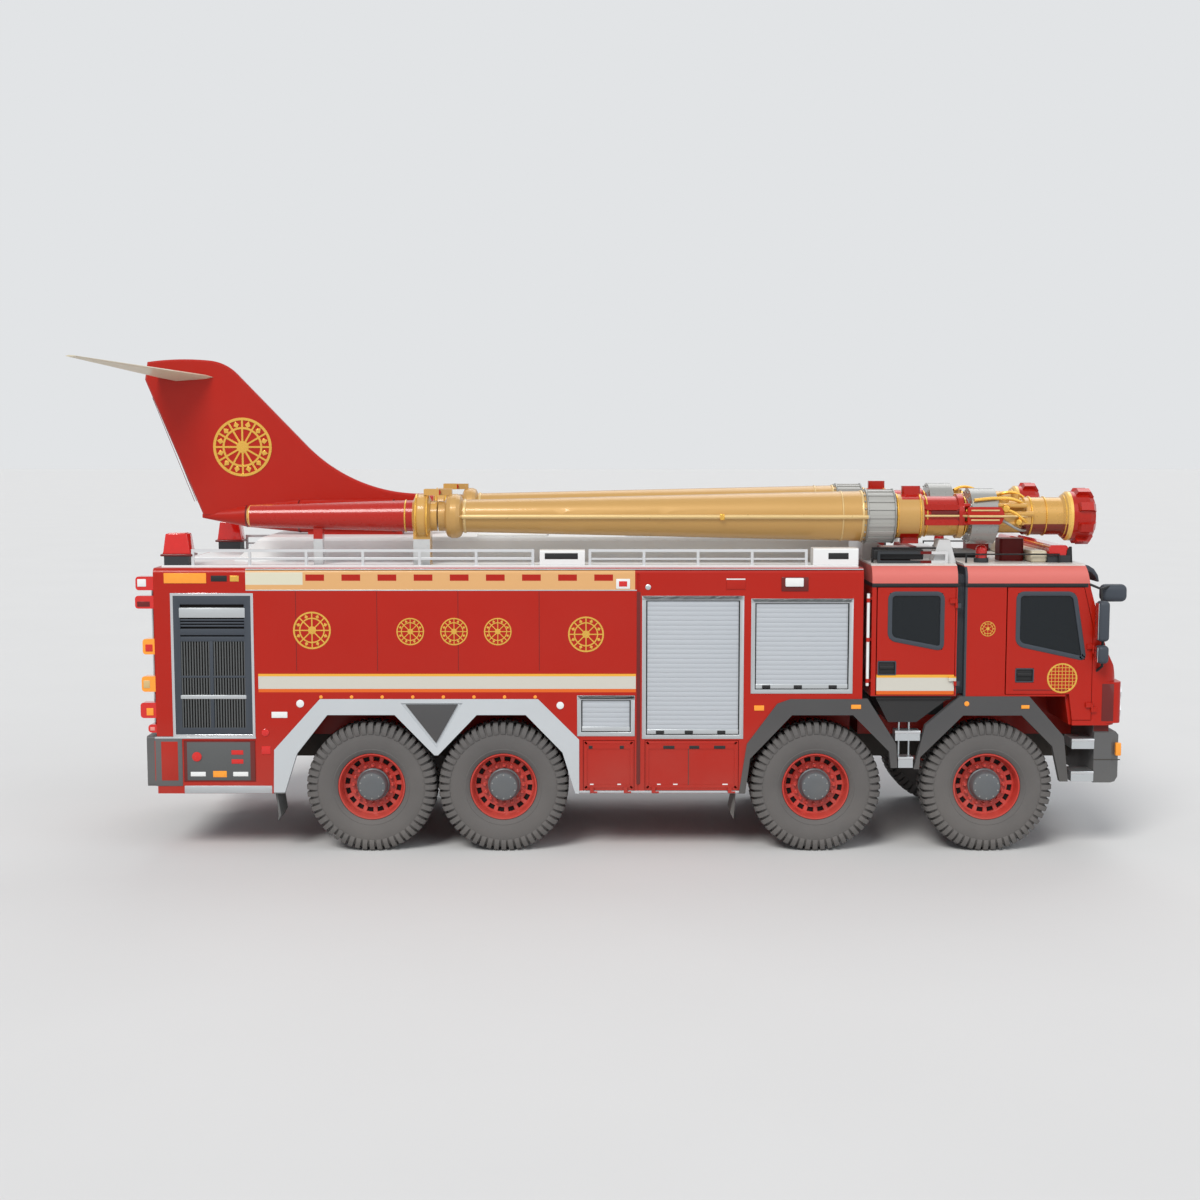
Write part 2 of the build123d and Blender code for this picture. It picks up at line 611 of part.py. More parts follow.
# ================================================================ tail
FIN_T = 50.0              # half thickness of the fin
FIN_TOP_Z = 5440.0
FIN_ROOT_Z = 3890.0       # top of the fin's front foot
CONE_Z = CASING_Z + 212.0
CONE_R = 200.0
FIN_EDGE = 22.0
# the fin's outline runs up the trailing edge, over the tip and down the leading edge
heel = (-5267.0, 0, FIN_TOP_Z - 233.0)
tip_rear = (-5235.0, 0, FIN_TOP_Z - 30.0)
tip_front = (-4500.0, 0, FIN_TOP_Z - 15.0)
brow = (-4190.0, 0, FIN_TOP_Z - 180.0)
knee = (-3440.0, 0, FIN_TOP_Z - 960.0)
fin_lines = Polyline((-2450.0, 0, CONE_Z), (-4621.0, 0, CONE_Z), heel, tip_rear)
tip_arc = ThreePointArc(tip_rear, (-4870.0, 0, FIN_TOP_Z), tip_front)
brow_arc = ThreePointArc(tip_front, (-4340.0, 0, FIN_TOP_Z - 65.0), brow)
front_line = Line(brow, knee)
root_arc = ThreePointArc(knee, (-2920.0, 0, (knee[2] + 2 * FIN_ROOT_Z) / 3), (-2050.0, 0, FIN_ROOT_Z))
root_line = Polyline((-2050.0, 0, FIN_ROOT_Z), (-1980.0, 0, FIN_ROOT_Z - 100.0), (-2450.0, 0, CONE_Z))
fin_face = make_face(fin_lines + tip_arc + brow_arc + front_line + root_arc + root_line)
fin = extrude(fin_face, amount=FIN_T, both=True)
fin = chamfer(fin.faces().filter_by(Axis.Y).edges(), FIN_EDGE)
cone = (
    (-4644.0, 0),
    (-4640.0, 25.0),
    (-4115.0, 130.0),
    (-3500.0, 190.0),
    (-2400.0, CONE_R),
    (-2000.0, 150.0),
    (-1930.0, 0),
)
fin += turned_x(cone, 0, CONE_Z)
fin += block(-3400.0, -2300.0, -90.0, 90.0, CASING_Z, CONE_Z)
save("tail_fin", fin)

# tail plane section at the root, as X, Z points; the tip has the same form
PLANE_Z = FIN_TOP_Z - 210.0
PLANE_ROOT = ((-5110.0, PLANE_Z), (-4900.0, PLANE_Z + 60.0), (-4560.0, PLANE_Z + 32.0),
              (-4470.0, PLANE_Z + 5.0), (-4560.0, PLANE_Z - 15.0), (-4900.0, PLANE_Z - 40.0))
TIP_SCALE = 0.19
TIP_Z = FIN_TOP_Z - 35.0
tip_dx = REAR_X - TIP_SCALE * PLANE_ROOT[0][0]
tip_dz = TIP_Z - TIP_SCALE * PLANE_ROOT[0][1]
plane_tip = [(TIP_SCALE * x + tip_dx, TIP_SCALE * z + tip_dz) for x, z in PLANE_ROOT]
sections = []
for outline, y in ((PLANE_ROOT, -FIN_T), (plane_tip, -HALF_WIDTH)):
    sections.append(make_face(Polyline(*[(x, y, z) for x, z in outline], close=True)))
save("tail_plane", both(loft(sections, ruled=True)))

# ================================================================ booms
SLEEVE_X0 = -3870.0
LUG_R = 34.0
LUG_T = 40.0
PIN_BAR_R = 16.0
RING1_X0 = BOOM_PIN_X - RING_GAP - RING_W
RING1_X1 = BOOM_PIN_X - RING_GAP
RING2_X0 = BOOM_PIN_X + RING_GAP
RING2_X1 = BOOM_PIN_X + RING_GAP + RING_W
NECK_R = 165.0
COLLAR_X0 = 2900.0
COLLAR_X1 = 3210.0
COLLAR_R = 293.0
RIBS = 20
NOZZLE_X0 = 3520.0
BARREL_R0 = 177.0
BARREL_R1 = 276.0


def ring_rows(x0, x1):
    """A bead ring's section: X, radius points with rounded shoulders."""
    w = x1 - x0
    return (
        (x0, RING_R - 60.0),
        (x0 + 0.12 * w, RING_R - 18.0),
        (x0 + 0.33 * w, RING_R),
        (x1 - 0.33 * w, RING_R),
        (x1 - 0.12 * w, RING_R - 18.0),
        (x1, RING_R - 60.0),
    )


sleeve = turned_x(
    (
        (SLEEVE_X0, 0),
        (SLEEVE_X0, 85.0),
        (SLEEVE_X0 + 30.0, 120.0),
        (RING1_X0, 172.0),
        *ring_rows(RING1_X0, RING1_X1),
        (RING1_X1, NECK_R),
        (BOOM_PIN_X - 8.0, NECK_R),
        (BOOM_PIN_X - 8.0, 0),
    ),
    -BOOM_Y,
    BOOM_Z,
)
for x0, x1, half in ((RING1_X0, RING1_X1, 110.0), (RING1_X0 - 1100.0, RING1_X0 - 1000.0, 60.0)):
    sleeve += block(x0, x1, -BOOM_Y - half, -BOOM_Y + half, DECK_Z, BOOM_Z - 100.0)
for y in (-BOOM_Y - 75.0, -BOOM_Y + 75.0):
    sleeve += block(RING1_X1 - 70.0, BOOM_PIN_X, y - LUG_T / 2, y + LUG_T / 2,
                    BOOM_PIN_Z - LUG_R, BOOM_PIN_Z + LUG_R)
    sleeve += round_y(BOOM_PIN_X, y - LUG_T / 2, y + LUG_T / 2, BOOM_PIN_Z, LUG_R)
sleeve += round_y(BOOM_PIN_X, -BOOM_Y - 95.0, -BOOM_Y + 95.0, BOOM_PIN_Z, PIN_BAR_R)
save("boom_sleeves", both(sleeve))

barrel = turned_x(
    (
        (BOOM_PIN_X + 8.0, 0),
        (BOOM_PIN_X + 8.0, NECK_R),
        (RING2_X0, NECK_R),
        *ring_rows(RING2_X0, RING2_X1),
        (RING2_X1, BARREL_R0),
        (COLLAR_X0, BARREL_R1),
        (COLLAR_X0, COLLAR_R - 12.0),
        (COLLAR_X1, COLLAR_R - 12.0),
        (COLLAR_X1, 243.0),
        (NOZZLE_X0, 243.0),
        (NOZZLE_X0, 0),
    ),
    -BOOM_Y,
    BOOM_Z,
)
for step in range(RIBS):
    rib = block(COLLAR_X0 + 15.0, COLLAR_X1 - 15.0, -14.0, 14.0, COLLAR_R - 30.0, COLLAR_R)
    barrel += Pos(0, -BOOM_Y, BOOM_Z) * (Rot(360.0 * step / RIBS, 0, 0) * rib)
barrel += block(BOOM_PIN_X, RING2_X0 + 70.0, -BOOM_Y - 48.0, -BOOM_Y + 48.0,
                BOOM_PIN_Z - LUG_R, BOOM_PIN_Z + LUG_R)
barrel += round_y(BOOM_PIN_X, -BOOM_Y - 48.0, -BOOM_Y + 48.0, BOOM_PIN_Z, LUG_R)
barrel -= round_y(BOOM_PIN_X, -BOOM_Y - 100.0, -BOOM_Y + 100.0, BOOM_PIN_Z, PIN_BAR_R + FIT)
PIPE_R = 24.0
barrel += rod((RING2_X1 - 20.0, -BOOM_Y - BARREL_R0 - 12.0, BOOM_Z),
              (COLLAR_X0 + 20.0, -BOOM_Y - BARREL_R1 - 12.0, BOOM_Z), PIPE_R)

HEAD_X0 = 5100.0
HEAD_X1 = 5385.0
HEAD_R = 270.0
CLAWS = 8
nozzle = turned_x(
    (
        (NOZZLE_X0, 0),
        (NOZZLE_X0, 218.0),
        (3900.0, 218.0),
        (3900.0, 245.0),
        (3960.0, 245.0),
        (3960.0, 190.0),
        (4030.0, 190.0),
        (4030.0, 305.0),
        (4310.0, 305.0),
        (4340.0, 185.0),
        (4620.0, 185.0),
        (4640.0, 205.0),
        (HEAD_X0 - 60.0, 205.0),
        (HEAD_X0 + 10.0, HEAD_R),
        (HEAD_X1 - 60.0, HEAD_R),
        (HEAD_X1, 235.0),
        (HEAD_X1, 150.0),
        (HEAD_X1 - 120.0, 110.0),
        (HEAD_X1 - 120.0, 0),
    ),
    -BOOM_Y,
    BOOM_Z,
)
for step in range(CLAWS):
    claw = side_plate(
        (
            (HEAD_X0 + 70.0, HEAD_R - 30.0),
            (HEAD_X0 + 110.0, HEAD_R + 42.0),
            (HEAD_X1 - 40.0, HEAD_R + 42.0),
            (HEAD_X1, HEAD_R - 20.0),
            (HEAD_X1 - 20.0, HEAD_R - 60.0),
        ),
        -45.0,
        45.0,
    )
    nozzle += Pos(0, -BOOM_Y, BOOM_Z) * (Rot(360.0 * (step + 0.5) / CLAWS, 0, 0) * claw)
# cheek bars along the red length, and the valve gear behind the head
for z in (BOOM_Z + 105.0, BOOM_Z - 60.0):
    nozzle += rounded_block(NOZZLE_X0 + 10.0, 3900.0, -BOOM_Y - 232.0, -BOOM_Y - 150.0,
                            z - 32.0, z + 32.0, Axis.Y, 30.0)
PIPES = (
    # X0, X1, Y and Z from the boom's axis, radius
    (3950.0, 4630.0, -215.0, 120.0, 26.0),
    (3950.0, 4700.0, -235.0, 30.0, 30.0),
    (3950.0, 4560.0, -225.0, -70.0, 22.0),
    (3950.0, 4640.0, 215.0, 90.0, 26.0),
    (3950.0, 4600.0, 225.0, -50.0, 22.0),
)
for x0, x1, dy, dz, r in PIPES:
    nozzle += round_x(x0, x1, -BOOM_Y + dy, BOOM_Z + dz, r)
nozzle += round_z(4420.0, -BOOM_Y - 60.0, BOOM_Z + 100.0, BOOM_Z + 225.0, 60.0)
nozzle += round_z(4560.0, -BOOM_Y, BOOM_Z + 100.0, BOOM_Z + 240.0, 45.0)
nozzle += block(4330.0, 4680.0, -BOOM_Y - 240.0, -BOOM_Y + 240.0, BOOM_Z - 90.0, BOOM_Z + 60.0)
KNOB_X = COLLAR_X1 + 200.0
barrel += rounded_block(KNOB_X - 100.0, KNOB_X + 100.0, -BOOM_Y - 60.0, -BOOM_Y + 60.0,
                        BOOM_Z + 200.0, BOOM_Z + 330.0, Axis.Z, 40.0)
barrel += rounded_block(KNOB_X - 110.0, KNOB_X + 90.0, -BOOM_Y - 60.0, -BOOM_Y + 60.0,
                        BOOM_Z - 300.0, BOOM_Z - 200.0, Axis.Z, 40.0)
save("boom_right", barrel)
save("boom_left", mirrored(barrel))
save("nozzle_right", nozzle)
save("nozzle_left", mirrored(nozzle))

# ================================================================ cab
CAB_ROUND = 160.0
CORNER_ROUND = 150.0
# side outline of the front cab, clockwise from the lower rear, X from the nose
CAB_OUT = (
    (CAB_X0, CAB_FLOOR_Z0),
    (CAB_X0, CAB_Z1),
    (NOSE_X - 367.0, CAB_Z1),
    (NOSE_X - 320.0, CAB_Z1 - 270.0),
    (NOSE_X - 130.0, 2226.0),
    (NOSE_X - 40.0, 2063.0),
    (NOSE_X, 1900.0),
    (NOSE_X, CAB_LOW_Z),
    (FRONT_AXLE_X + 880.0, CAB_LOW_Z),
    (FRONT_AXLE_X + 830.0, CAB_FLOOR_Z0),
)
CAB_IN = (
    (CAB_X0 + CAB_WALL, CAB_FLOOR_Z1),
    (CAB_X0 + CAB_WALL, CAB_Z1 - CAB_WALL),
    (NOSE_X - 430.0, CAB_Z1 - CAB_WALL),
    (NOSE_X - 390.0, CAB_Z1 - 280.0),
    (NOSE_X - 200.0, 2226.0),
    (NOSE_X - 110.0, 2050.0),
    (NOSE_X - 70.0, CAB_FLOOR_Z1),
)
front_shell = side_plate(CAB_OUT, -HALF_WIDTH, HALF_WIDTH)
plan = block(CAB_X0 - 10.0, NOSE_X, -HALF_WIDTH, HALF_WIDTH, CAB_LOW_Z - 10.0, CAB_Z1 + 10.0)
plan = fillet(plan.edges().filter_by(Axis.Z).group_by(Axis.X)[-1], CORNER_ROUND)
front_shell = front_shell & plan
crew_shell = block(CREW_X0, CREW_X1, -HALF_WIDTH, HALF_WIDTH, CAB_FLOOR_Z0, CAB_Z1)
tunnel = block(CREW_X0 - 10.0, NOSE_X + 10.0, -HALF_WIDTH, HALF_WIDTH, CAB_LOW_Z - 20.0, CAB_Z1)
tunnel = fillet(tunnel.edges().filter_by(Axis.X).group_by(Axis.Z)[-1], CAB_ROUND)
cab = (front_shell + crew_shell) & tunnel
cab += block(CREW_X1 - 10.0, CAB_X0 + 10.0, -HALF_WIDTH + 90.0, HALF_WIDTH - 90.0,
             CAB_FLOOR_Z0 + 20.0, CAB_Z1 - 120.0)
hollow = side_plate(CAB_IN, -DOOR_Y0, DOOR_Y0)
cab -= hollow
cab -= block(CREW_X0 + CAB_WALL, CREW_X1 - CAB_WALL, -DOOR_Y0, DOOR_Y0,
             CAB_FLOOR_Z1, CAB_Z1 - CAB_WALL)
cab += block(CREW_X0, RAIL_X1, -CAB_BELLY_Y, CAB_BELLY_Y, RAIL_Z1, CAB_FLOOR_Z0)
hopper = side_plate(
    (
        (CREW_X0 + 50.0, CAB_FLOOR_Z0),
        (CREW_X0 + 890.0, CAB_FLOOR_Z0),
        (CREW_X0 + 510.0, 1440.0),
        (CREW_X0 + 200.0, 1440.0),
    ),
    -HALF_WIDTH + 40.0,
    -CAB_BELLY_Y,
)
cab = cab + hopper + mirrored(hopper)
# lamp corners of the nose
lamp_corner = rounded_block(NOSE_X - 190.0, NOSE_X + 50.0, -HALF_WIDTH, -HALF_WIDTH + 330.0,
                            CAB_LOW_Z + 25.0, 1885.0, Axis.Z, 75.0)
cab = cab + lamp_corner + mirrored(lamp_corner) - hollow
# gutter over the doors, grab rail behind the crew door
GUTTER_Z = DOOR_TOP_Z + 14.0
for x0, x1 in ((CREW_X0, CREW_X1), (CAB_X0, NOSE_X - 370.0)):
    gutter = block(x0, x1, -HALF_WIDTH - 12.0, -HALF_WIDTH + 5.0, GUTTER_Z, GUTTER_Z + 34.0)
    cab = cab + gutter + mirrored(gutter)
GRAB_X = CREW_X0 - 38.0
grab = round_z(GRAB_X, -HALF_WIDTH + 40.0, 1850.0, 2850.0, 16.0)
for z in (1900.0, 2350.0, 2800.0):
    grab += block(GRAB_X, CREW_X0 + 5.0, -HALF_WIDTH + 28.0, -HALF_WIDTH + 52.0, z - 15.0, z + 15.0)
cab = cab + grab + mirrored(grab)


def front_x(z):
    """X of the cab's front at a height from the top of the nose to the roof."""
    low_x, low_z, high_x, high_z = NOSE_X - 130.0, 2226.0, NOSE_X - 320.0, CAB_Z1 - 270.0
    if z > high_z:
        low_x, low_z, high_x, high_z = high_x, high_z, NOSE_X - 367.0, CAB_Z1
    return low_x + (high_x - low_x) * (z - low_z) / (high_z - low_z)


FRONT_HINGE_X = NOSE_X - 280.0
CREW_HINGE_X = CREW_X1 - 20.0
TAIL_X = FRONT_AXLE_X + 900.0
# door outlines as X, Z points
FRONT_DOOR = (
    (CAB_X0 + 460.0, CAB_FLOOR_Z0 + 25.0),
    (CAB_X0 + 460.0, DOOR_TOP_Z),
    (FRONT_HINGE_X - 115.0, DOOR_TOP_Z),
    (FRONT_HINGE_X - 10.0, DOOR_TOP_Z - 430.0),
    (FRONT_HINGE_X - 6.0, CAB_LOW_Z + 60.0),
    (TAIL_X, CAB_LOW_Z + 60.0),
    (TAIL_X - 40.0, CAB_FLOOR_Z0 + 25.0),
)
FRONT_WINDOW = (
    (CAB_X0 + 570.0, DOOR_TOP_Z - 620.0),
    (CAB_X0 + 570.0, DOOR_TOP_Z - 60.0),
    (FRONT_HINGE_X - 215.0, DOOR_TOP_Z - 60.0),
    (FRONT_HINGE_X - 85.0, DOOR_TOP_Z - 790.0),
)
CREW_DOOR = (
    (CREW_X0 + 60.0, CAB_FLOOR_Z0 + 20.0),
    (CREW_X0 + 60.0, DOOR_TOP_Z),
    (CREW_HINGE_X - 6.0, DOOR_TOP_Z),
    (CREW_HINGE_X - 6.0, CAB_FLOOR_Z0 + 20.0),
)
CREW_WINDOW = (
    (CREW_X0 + 190.0, DOOR_TOP_Z - 560.0),
    (CREW_X0 + 190.0, DOOR_TOP_Z - 60.0),
    (CREW_X0 + 770.0, DOOR_TOP_Z - 60.0),
    (CREW_X0 + 770.0, DOOR_TOP_Z - 680.0),
)
# name, door, window, hinge X, heights of the two hinges, X and Z of the handle's recess
DOORS = (
    ("front", FRONT_DOOR, FRONT_WINDOW, FRONT_HINGE_X, (CAB_LOW_Z + 150.0, 2200.0), CAB_X0 + 560.0, 1960.0),
    ("crew", CREW_DOOR, CREW_WINDOW, CREW_HINGE_X, (CAB_FLOOR_Z0 + 120.0, 2700.0), CREW_X0 + 70.0, 2040.0),
)
LATCH_GAP = 12.0          # at the edge away from the hinge
HINGE_H = 50.0
HINGE_PIN_R = 6.0


def widened(points, gap):
    """A closed outline moved outwards by a gap, corner by corner."""
    area = sum(a[0] * b[1] - b[0] * a[1] for a, b in zip(points, points[1:] + points[:1]))
    turn = 1 if area > 0 else -1
    out = []
    for before, here, after in zip(points[-1:] + points[:-1], points, points[1:] + points[:1]):
        x1, z1 = here[0] - before[0], here[1] - before[1]
        x2, z2 = after[0] - here[0], after[1] - here[1]
        n1 = (turn * z1 / hypot(x1, z1), -turn * x1 / hypot(x1, z1))
        n2 = (turn * z2 / hypot(x2, z2), -turn * x2 / hypot(x2, z2))
        share = gap / (1 + n1[0] * n2[0] + n1[1] * n2[1])
        out.append((here[0] + share * (n1[0] + n2[0]), here[1] + share * (n1[1] + n2[1])))
    return tuple(out)


# the front door's lower rear edge swings inwards at first, so the sill is cut back there
notch = block(FRONT_AXLE_X + 820.0, TAIL_X, -HALF_WIDTH - 1.0, -DOOR_Y0 + 1.0,
              CAB_LOW_Z - 1.0, CAB_FLOOR_Z0 + 30.0)
cab = cab - notch - mirrored(notch)
for name, outline, window, hinge_x, hinge_zs, handle_x, handle_z in DOORS:
    hole = side_plate(widened(outline, SEAM), -HALF_WIDTH - 1.0, -DOOR_Y0 + 1.0)
    hole += block(outline[0][0] - LATCH_GAP, outline[0][0], -HALF_WIDTH - 1.0, -DOOR_Y0 + 1.0,
                  outline[0][1] - SEAM, outline[1][1] + SEAM)
    cab = cab - hole - mirrored(hole)
    door = side_plate(outline, -HALF_WIDTH, -DOOR_Y0)
    door -= side_plate(window, -HALF_WIDTH - 1.0, -DOOR_Y0 + 1.0)
    door -= block(handle_x, handle_x + 200.0, -HALF_WIDTH - 1.0, -HALF_WIDTH + 14.0,
                  handle_z - 80.0, handle_z + 80.0)
    for z in hinge_zs:
        door += block(hinge_x - 70.0, hinge_x, -HINGE_Y - 6.0, -HALF_WIDTH, z + HINGE_H + 1.0,
                      z + 2 * HINGE_H)
        door += round_z(hinge_x, -HINGE_Y, z + HINGE_H + 1.0, z + 2 * HINGE_H, HINGE_R)
        door -= round_z(hinge_x, -HINGE_Y, z + HINGE_H, z + 2 * HINGE_H + 1.0, HINGE_PIN_R + FIT)
        leaf = block(hinge_x, hinge_x + 50.0, -HINGE_Y - 6.0, -HALF_WIDTH + 1.0, z, z + HINGE_H)
        leaf += round_z(hinge_x, -HINGE_Y, z, z + HINGE_H, HINGE_R)
        leaf += round_z(hinge_x, -HINGE_Y, z, z + 2 * HINGE_H, HINGE_PIN_R)
        cab = cab + leaf + mirrored(leaf)
    glass = side_plate(window, -HALF_WIDTH + 12.0, -HALF_WIDTH + 12.0 + GLASS_T)
    save(f"door_{name}_right", door)
    save(f"door_{name}_left", mirrored(door))
    save(f"glass_{name}_right", glass)
    save(f"glass_{name}_left", mirrored(glass))

# windscreen, set in the sloping front
SCREEN_Y = HALF_WIDTH - 200.0
SCREEN_Z1 = CAB_Z1 - 290.0
SCREEN_Z0 = 2275.0
SCREEN_X1 = front_x(SCREEN_Z1)
SCREEN_X0 = front_x(SCREEN_Z0)
cab -= block(NOSE_X - 500.0, NOSE_X + 60.0, -SCREEN_Y, SCREEN_Y, SCREEN_Z0, SCREEN_Z1)
save("cab_shell", cab)
screen = side_plate(
    (
        (SCREEN_X1 - 25.0, SCREEN_Z1),
        (SCREEN_X1 - 12.0, SCREEN_Z1),
        (SCREEN_X0 - 12.0, SCREEN_Z0),
        (SCREEN_X0 - 25.0, SCREEN_Z0),
    ),
    -SCREEN_Y,
    SCREEN_Y,
)
save("windscreen", screen)

# seats: X of the backrest's front, Y of the middle
SEATS = (
    (CAB_X0 + 490.0, -650.0),
    (CAB_X0 + 490.0, 650.0),
    (CREW_X0 + 240.0, -800.0),
    (CREW_X0 + 240.0, 0.0),
    (CREW_X0 + 240.0, 800.0),
)
SEAT_Z = CAB_FLOOR_Z1 + 260.0
seats = []
for x, y in SEATS:
    seat = block(x - 40.0, x + 310.0, y - 230.0, y + 230.0, CAB_FLOOR_Z1, SEAT_Z)
    cushion = block(x - 60.0, x + 360.0, y - 250.0, y + 250.0, SEAT_Z, SEAT_Z + 140.0)
    backrest = block(x - 150.0, x - 20.0, y - 240.0, y + 240.0, SEAT_Z, SEAT_Z + 790.0)
    seats.append(seat + cushion + fillet(backrest.edges().filter_by(Axis.X).group_by(Axis.Z)[-1], 80.0))
save("seats", seats)

DASH_X0 = NOSE_X - 440.0
DASH_Y = HALF_WIDTH - 170.0
dash = side_plate(
    (
        (DASH_X0, CAB_FLOOR_Z1),
        (DASH_X0, 2080.0),
        (DASH_X0 - 50.0, 2150.0),
        (DASH_X0, 2230.0),
        (DASH_X0 + 220.0, 2215.0),
        (DASH_X0 + 310.0, 2050.0),
        (DASH_X0 + 350.0, CAB_FLOOR_Z1),
    ),
    -DASH_Y,
    DASH_Y,
)
HAND_WHEEL_Y = 650.0
tilt = Rot(0, -60, 0)
column = Pos(DASH_X0 - 140.0, HAND_WHEEL_Y, 2270.0) * tilt * Cylinder(25.0, 330.0)
hand_wheel = Cylinder(225.0, 26.0) - Cylinder(197.0, 30.0) + Box(30.0, 410.0, 14.0) + Cylinder(45.0, 30.0)
dash += column + Pos(DASH_X0 - 215.0, HAND_WHEEL_Y, 2315.0) * tilt * hand_wheel
save("dashboard", dash)

# ================================================================ front and rear trim
BUMPER_X1 = RAIL_X1 + 300.0
bumper = block(RAIL_X1, BUMPER_X1, -HALF_WIDTH + 10.0, HALF_WIDTH - 10.0, 775.0, 1330.0)
bumper = chamfer(bumper.edges().filter_by(Axis.Z).group_by(Axis.X)[-1], 110.0)
bumper = chamfer(bumper.edges().filter_by(Axis.Y).group_by(Axis.X)[-1], 45.0)
bumper += block(RAIL_X1, BUMPER_X1 - 130.0, -HALF_WIDTH + 60.0, HALF_WIDTH - 60.0, 1330.0, CAB_LOW_Z)
bumper -= block(BUMPER_X1 - 20.0, BUMPER_X1 + 1.0, -700.0, 700.0, 880.0, 1220.0)
REAR_BAR_X0 = BODY_X0 - 110.0
rear_bar = block(REAR_BAR_X0, BODY_X0, -HALF_WIDTH, -160.0, 740.0, 860.0)
rear_corner = rounded_block(REAR_BAR_X0, BODY_X0, -HALF_WIDTH - 6.0, -HALF_WIDTH + 420.0,
                            740.0, 1290.0, Axis.X, 25.0)
save("bumpers", bumper, both(rear_bar + rear_corner))

STEP_X = CREW_X0 + 410.0  # middle of the crew steps
crew_step = block(STEP_X - 135.0, STEP_X + 135.0, -HALF_WIDTH, -HALF_WIDTH + 180.0, 1240.0, 1350.0)
crew_step += block(STEP_X - 98.0, STEP_X + 62.0, -HALF_WIDTH, -HALF_WIDTH + 180.0, 940.0, 1060.0)
for x in (STEP_X - 80.0, STEP_X + 30.0):
    crew_step += block(x, x + 16.0, -HALF_WIDTH + 140.0, -HALF_WIDTH + 180.0, 940.0, 1440.0)
front_step = block(TAIL_X + 5.0, RAIL_X1, -HALF_WIDTH, -HALF_WIDTH + 300.0, 1150.0, 1260.0)
front_step += block(TAIL_X + 5.0, RAIL_X1, -HALF_WIDTH, -HALF_WIDTH + 300.0, 790.0, 900.0)
save("steps", both(crew_step), both(front_step))

# mirrors on a tubular arm ahead of each front door, and the visor over the screen
ARM_X = NOSE_X - 210.0
ARM_Y = HALF_WIDTH + 70.0
arm_points = (
    (NOSE_X - 400.0, -HALF_WIDTH + 60.0, CAB_Z1 - 190.0),
    (ARM_X - 20.0, -ARM_Y, CAB_Z1 - 260.0),
    (ARM_X + 10.0, -ARM_Y, 2450.0),
    (ARM_X + 10.0, -ARM_Y, 2070.0),
    (ARM_X - 25.0, -HALF_WIDTH + 10.0, 2010.0),
)
mirror_set = rounded_block(ARM_X - 80.0, ARM_X + 45.0, -ARM_Y - 150.0, -ARM_Y + 10.0,
                           2350.0, 2790.0, Axis.Y, 45.0)
mirror_set += rounded_block(ARM_X - 80.0, ARM_X + 45.0, -ARM_Y - 150.0, -ARM_Y + 10.0,
                            2110.0, 2310.0, Axis.Y, 45.0)
for start, end in zip(arm_points[1:-2], arm_points[2:-1]):
    mirror_set += rod(start, end, 15.0)
for start, end in (arm_points[:2], arm_points[-2:]):
    mirror_set += rod(start, end, 15.0)
for point in arm_points[1:-1]:
    mirror_set += Pos(*point) * Sphere(15.0)
kerb_y = HALF_WIDTH - 60.0
mirror_set += rod(arm_points[1], (FRONT_X - 150.0, -kerb_y, CAB_Z1 - 230.0), 15.0)
kerb = rounded_block(FRONT_X - 290.0, FRONT_X, -kerb_y - 75.0, -kerb_y + 75.0,
                     CAB_Z1 - 410.0, CAB_Z1 - 215.0, Axis.Y, 85.0)
mirror_set += kerb
mirror_set -= block(NOSE_X - 500.0, NOSE_X - 180.0, -HALF_WIDTH, 0, 1900.0, CAB_Z1)
visor = side_plate(
    (
        (front_x(CAB_Z1 - 20.0), CAB_Z1 - 20.0),
        (NOSE_X - 250.0, CAB_Z1 - 60.0),
        (NOSE_X - 180.0, CAB_Z1 - 200.0),
        (NOSE_X - 200.0, CAB_Z1 - 205.0),
        (NOSE_X - 265.0, CAB_Z1 - 100.0),
        (front_x(CAB_Z1 - 85.0), CAB_Z1 - 85.0),
    ),
    -HALF_WIDTH + 190.0,
    HALF_WIDTH - 190.0,
)
save("mirrors", both(mirror_set), visor)

# lamps standing off the rear face, and the rear beacons
LAMP_Y0 = HALF_WIDTH - 60.0
LAMP_W = 120.0
# Z0, Z1, how far the lamp stands off
RED_LAMPS = ((2890.0, 3040.0, 190.0), (2690.0, 2830.0, 200.0), (1490.0, 1660.0, 170.0), (1330.0, 1420.0, 90.0))
AMBER_LAMPS = ((2190.0, 2360.0, 130.0), (1780.0, 1950.0, 150.0))


def rear_lamps(rows):
    """Right- and left-hand lamp pods on the rear face."""
    pods = []
    for z0, z1, length in rows:
        pod = block(BODY_X0 - length, BODY_X0, -LAMP_Y0 - LAMP_W / 2, -LAMP_Y0 + LAMP_W / 2, z0, z1)
        pods.extend(both(fillet(pod.edges().filter_by(Axis.Y).group_by(Axis.X)[0], 35.0)))
    return pods


BEACON_X = BODY_X0 + 240.0
BEACON_Y = HALF_WIDTH - 200.0
beacon_plan = Pos(BEACON_X, -BEACON_Y, DECK_Z + 120.0) * RectangleRounded(230.0, 200.0, 40.0)
beacon = extrude(beacon_plan, amount=220.0, taper=10)
DOME_X = CAB_X0 + 240.0
dome = round_z(DOME_X, -1150.0, CAB_Z1 + 50.0, CAB_Z1 + 190.0, 62.0)
dome = fillet(dome.edges().filter_by(GeomType.CIRCLE).group_by(Axis.Z)[-1], 50.0)
BAR_LENS_Y = HALF_WIDTH - 320.0
bar_lens = block(CAB_X0 + 980.0, CAB_X0 + 1190.0, -BAR_LENS_Y, BAR_LENS_Y, CAB_Z1 + 80.0, CAB_Z1 + 190.0)
bar_lens = fillet(bar_lens.edges().filter_by(Axis.Y).group_by(Axis.Z)[-1], 40.0)
save("lamps_red", rear_lamps(RED_LAMPS), both(beacon), both(dome), bar_lens)
save("lamps_amber", rear_lamps(AMBER_LAMPS))

